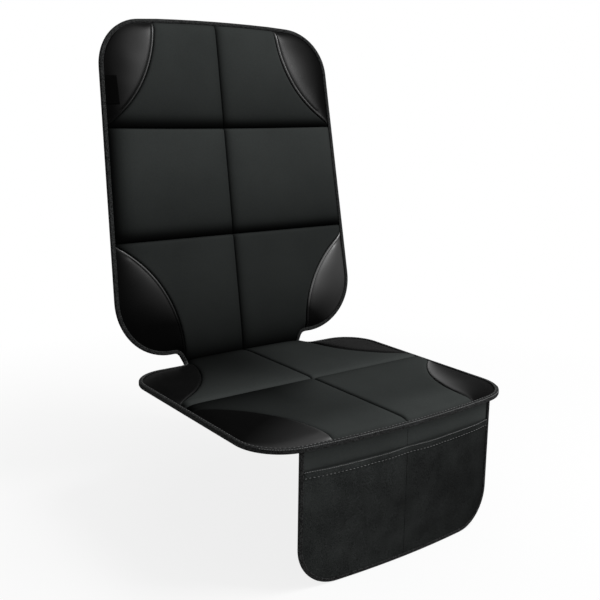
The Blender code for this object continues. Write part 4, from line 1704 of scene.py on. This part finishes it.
        def face(points: np.ndarray) -> np.ndarray:
            """Height of the tab's face, rounded at its free edges."""
            ends = np.minimum(points[:, 1] - rows[0], rows[-1] - points[:, 1])
            tip = np.minimum(ends, lines[-1] - points[:, 0])
            return panel.patch_height(points) + 0.0004 + 0.0007 * np.sqrt(np.clip(tip / 0.001, 0.0, 1.0))

        maker.thicken(face, raised(panel.patch_height, 0.0002))
        piece = maker.piece("bare_label", panel.plane)
        self.wardrobe.dress(piece, Look.LABEL, "label_tab")

    def build(self) -> None:
        """Make every piece of the mat."""
        # The pale close stitches are a painted highlight: a pale line along the hem's folded edge at the
        # pockets' mouth and along the seat tape's front edge.
        pale = StitchBook("edge_highlight_stitches", 0.0032, 0.0036, 0.0005)
        loose = StitchBook("loose_stitches", 0.0034, 0.0062, 0.0005)
        dark = StitchBook("dark_stitches")
        back, seat = self.back(), self.seat()
        self.build_panel(back, ("lower", "upper"), Hold.STRETCHED)
        self.build_panel(seat, ("rear", "front"), Hold.LAID)
        self.label(back)
        self.flap().build(self.wardrobe, pale, loose, dark)
        back.corner_stitches(dark)
        back.edge_stitches(dark)
        seat.edge_stitches(loose)
        seat.front_edge_highlight(pale)
        self.wardrobe.dress(pale.piece(), Look.THREAD)
        self.wardrobe.dress(loose.piece(), Look.THREAD)
        self.wardrobe.dress(dark.piece(), Look.DARK_THREAD)


# Studio


@dataclass(frozen=True)
class Studio:
    """Camera, lamps, floor and background.

    Args:
        azimuth: Degrees that the camera stands to the right of the front.
        elevation: Degrees that it looks down.
        roll: Degrees that it leans.
        focal_px: Focal length in pixels of the photograph.
        centre_y_px: Height of the lens axis in the photograph, in pixels from its top.
        place: Where the camera stands.
        ambient: Strength of the light from all sides.
        floor_white: Share of plain white in the floor under the mat.
        floor_melt: Distances from the middle between which the floor turns fully white.
    """

    azimuth: float = -36.3723
    elevation: float = 11.4436
    roll: float = 0.8342
    focal_px: float = 870.39
    centre_y_px: float = 277.43
    place: tuple[float, float, float] = (-0.8171, -1.0717, 0.4486)
    ambient: float = 0.18
    floor_white: float = 0.84
    floor_melt: tuple[float, float] = (0.3, 1.2)

    def camera(self) -> None:
        """Set up the camera at the photograph's angle."""
        data = bpy.data.cameras.new("view")
        data.sensor_width = 36.0
        data.lens = self.focal_px / IMAGE_SIDE * data.sensor_width
        data.shift_y = (self.centre_y_px - IMAGE_SIDE / 2.0) / IMAGE_SIDE
        eye = add_object("view", data)
        turn, tilt = math.radians(self.azimuth), math.radians(self.elevation)
        back = Vector((math.sin(turn) * math.cos(tilt), -math.cos(turn) * math.cos(tilt), math.sin(tilt)))
        forward = -back
        right = forward.cross(Vector((0.0, 0.0, 1.0))).normalized()
        up = right.cross(forward)
        lean = math.radians(self.roll)
        side = right * math.cos(lean) + up * math.sin(lean)
        top = up * math.cos(lean) - right * math.sin(lean)
        eye.matrix_world = Matrix.Translation(self.place) @ axes(side, top, back)
        bpy.context.scene.camera = eye

    def lamp(
        self, name: str, place: Sequence[float], aim: Sequence[float], size: float, power: float
    ) -> None:
        """Add one soft square lamp.

        Args:
            name: Name of the lamp.
            place: Where it stands.
            aim: The point that it faces.
            size: Length of its sides.
            power: Power in watts.
        """
        data = bpy.data.lights.new(name, "AREA")
        data.size = size
        data.energy = power
        lamp = add_object(name, data)
        lamp.location = place
        lamp.rotation_mode = "QUATERNION"
        lamp.rotation_quaternion = (Vector(aim) - Vector(place)).to_track_quat("-Z", "Y")

    def floor(self, low: float) -> None:
        """Lay a pale floor, which shows the mat's shadow and melts into the white background around it."""
        bm = bmesh.new()
        bmesh.ops.create_grid(bm, x_segments=1, y_segments=1, size=FLOOR_HALF)
        bmesh.ops.translate(bm, verts=bm.verts[:], vec=(0.0, 0.0, low))
        floor = new_piece("floor", bm, smooth=False)
        material = bpy.data.materials.new("pale_floor")
        material.use_nodes = True
        tree = material.node_tree
        shader = tree.nodes["Principled BSDF"]
        shader.inputs["Base Color"].default_value = FLOOR_COLOUR
        shader.inputs["Roughness"].default_value = 0.9
        shader.inputs["Specular IOR Level"].default_value = 0.0
        place = tree.nodes.new("ShaderNodeTexCoord")
        away = tree.nodes.new("ShaderNodeVectorMath")
        away.operation = "LENGTH"
        tree.links.new(place.outputs["Object"], away.inputs[0])
        spread = tree.nodes.new("ShaderNodeMapRange")
        labels = ("From Min", "From Max", "To Min", "To Max")
        for label, value in zip(labels, (*self.floor_melt, self.floor_white, 1.0)):
            spread.inputs[label].default_value = value
        tree.links.new(away.outputs["Value"], spread.inputs["Value"])
        path = tree.nodes.new("ShaderNodeLightPath")
        share = math_node(tree, "MULTIPLY", path.outputs["Is Camera Ray"], spread.outputs["Result"])
        white = tree.nodes.new("ShaderNodeEmission")
        mix = tree.nodes.new("ShaderNodeMixShader")
        tree.links.new(share, mix.inputs["Fac"])
        tree.links.new(shader.outputs["BSDF"], mix.inputs[1])
        tree.links.new(white.outputs["Emission"], mix.inputs[2])
        tree.links.new(mix.outputs["Shader"], tree.nodes["Material Output"].inputs["Surface"])
        floor.data.materials.append(material)
        floor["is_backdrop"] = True

    def world(self) -> None:
        """Light the mat softly from all sides, on a white background."""
        world = bpy.data.worlds.new("studio")
        bpy.context.scene.world = world
        world.use_nodes = True
        tree = world.node_tree
        background = tree.nodes["Background"]
        background.inputs["Color"].default_value = (1.0, 1.0, 1.0, 1.0)
        path = tree.nodes.new("ShaderNodeLightPath")
        seen = math_node(tree, "MAXIMUM", path.outputs["Is Camera Ray"], path.outputs["Is Glossy Ray"])
        seen = math_node(tree, "MAXIMUM", seen, path.outputs["Is Transmission Ray"])
        strength = math_node(tree, "MULTIPLY_ADD", seen, 1.0 - self.ambient, self.ambient)
        tree.links.new(strength, background.inputs["Strength"])

    def build(self, low: float) -> None:
        """Set up the whole studio over a floor at height low."""
        self.camera()
        self.world()
        self.lamp("key", (0.85, -0.75, 1.60), (0.0, 0.10, 0.15), 0.8, 34.0)
        self.lamp("shine", (1.15, -1.45, 1.05), (0.0, 0.20, 0.40), 0.40, 7.0)
        self.floor(low)
        bpy.context.scene.view_settings.view_transform = "Standard"


FINISHES = (
    Finish(
        Look.CLOTH,
        (0.0350, 0.0383, 0.0374),
        (0.0478, 0.0523, 0.0507),
        0.90,
        specular=0.0,
        clouds=7.0,
    ),
    Finish(
        Look.LEATHERETTE,
        (0.0026, 0.0027, 0.0027),
        (0.0036, 0.0037, 0.0037),
        0.45,
        specular=0.02,
        weave_pitch=0.0,
        relief=0.00003,
        # Colour at full painted shade, and the coat whose weight the painted sheen sets.
        painted_shade_colour=(0.0017, 0.0017, 0.0017),
        coat=1.0,
    ),
    Finish(
        Look.TAPE,
        (0.006, 0.006, 0.006),
        (0.037, 0.038, 0.038),
        0.85,
        specular=0.04,
        weave_slant=0.5,
        fleck=0.85,
        flecks=520.0,
    ),
    Finish(Look.LINING, (0.028, 0.028, 0.029), (0.046, 0.046, 0.048), 0.92),
    Finish(
        Look.POCKET,
        (0.0095, 0.0104, 0.0102),
        (0.0410, 0.0446, 0.0437),
        0.86,
        specular=0.03,
        fleck=0.62,
        clouds=22.0,
    ),
    Finish(Look.LABEL, (0.0008, 0.0008, 0.0008), (0.0012, 0.0012, 0.0012), 0.7, specular=0.01),
    Finish(Look.THREAD, (0.09, 0.092, 0.092), (0.20, 0.202, 0.202), 0.6, fleck=0.8),
    Finish(Look.DARK_THREAD, (0.003, 0.003, 0.003), (0.008, 0.008, 0.008), 0.6, specular=0.04, fleck=0.8),
)


def main() -> None:
    """Build the studio and the mat."""
    logging.basicConfig(level=logging.INFO, format="%(name)s: %(message)s")
    cad_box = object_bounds()
    Studio().build(cad_box[0].z - FLOOR_GAP)
    book = NodeBook()
    Mat(Wardrobe({finish.look: finish.material(book) for finish in FINISHES})).build()


if __name__ == "__main__":
    main()
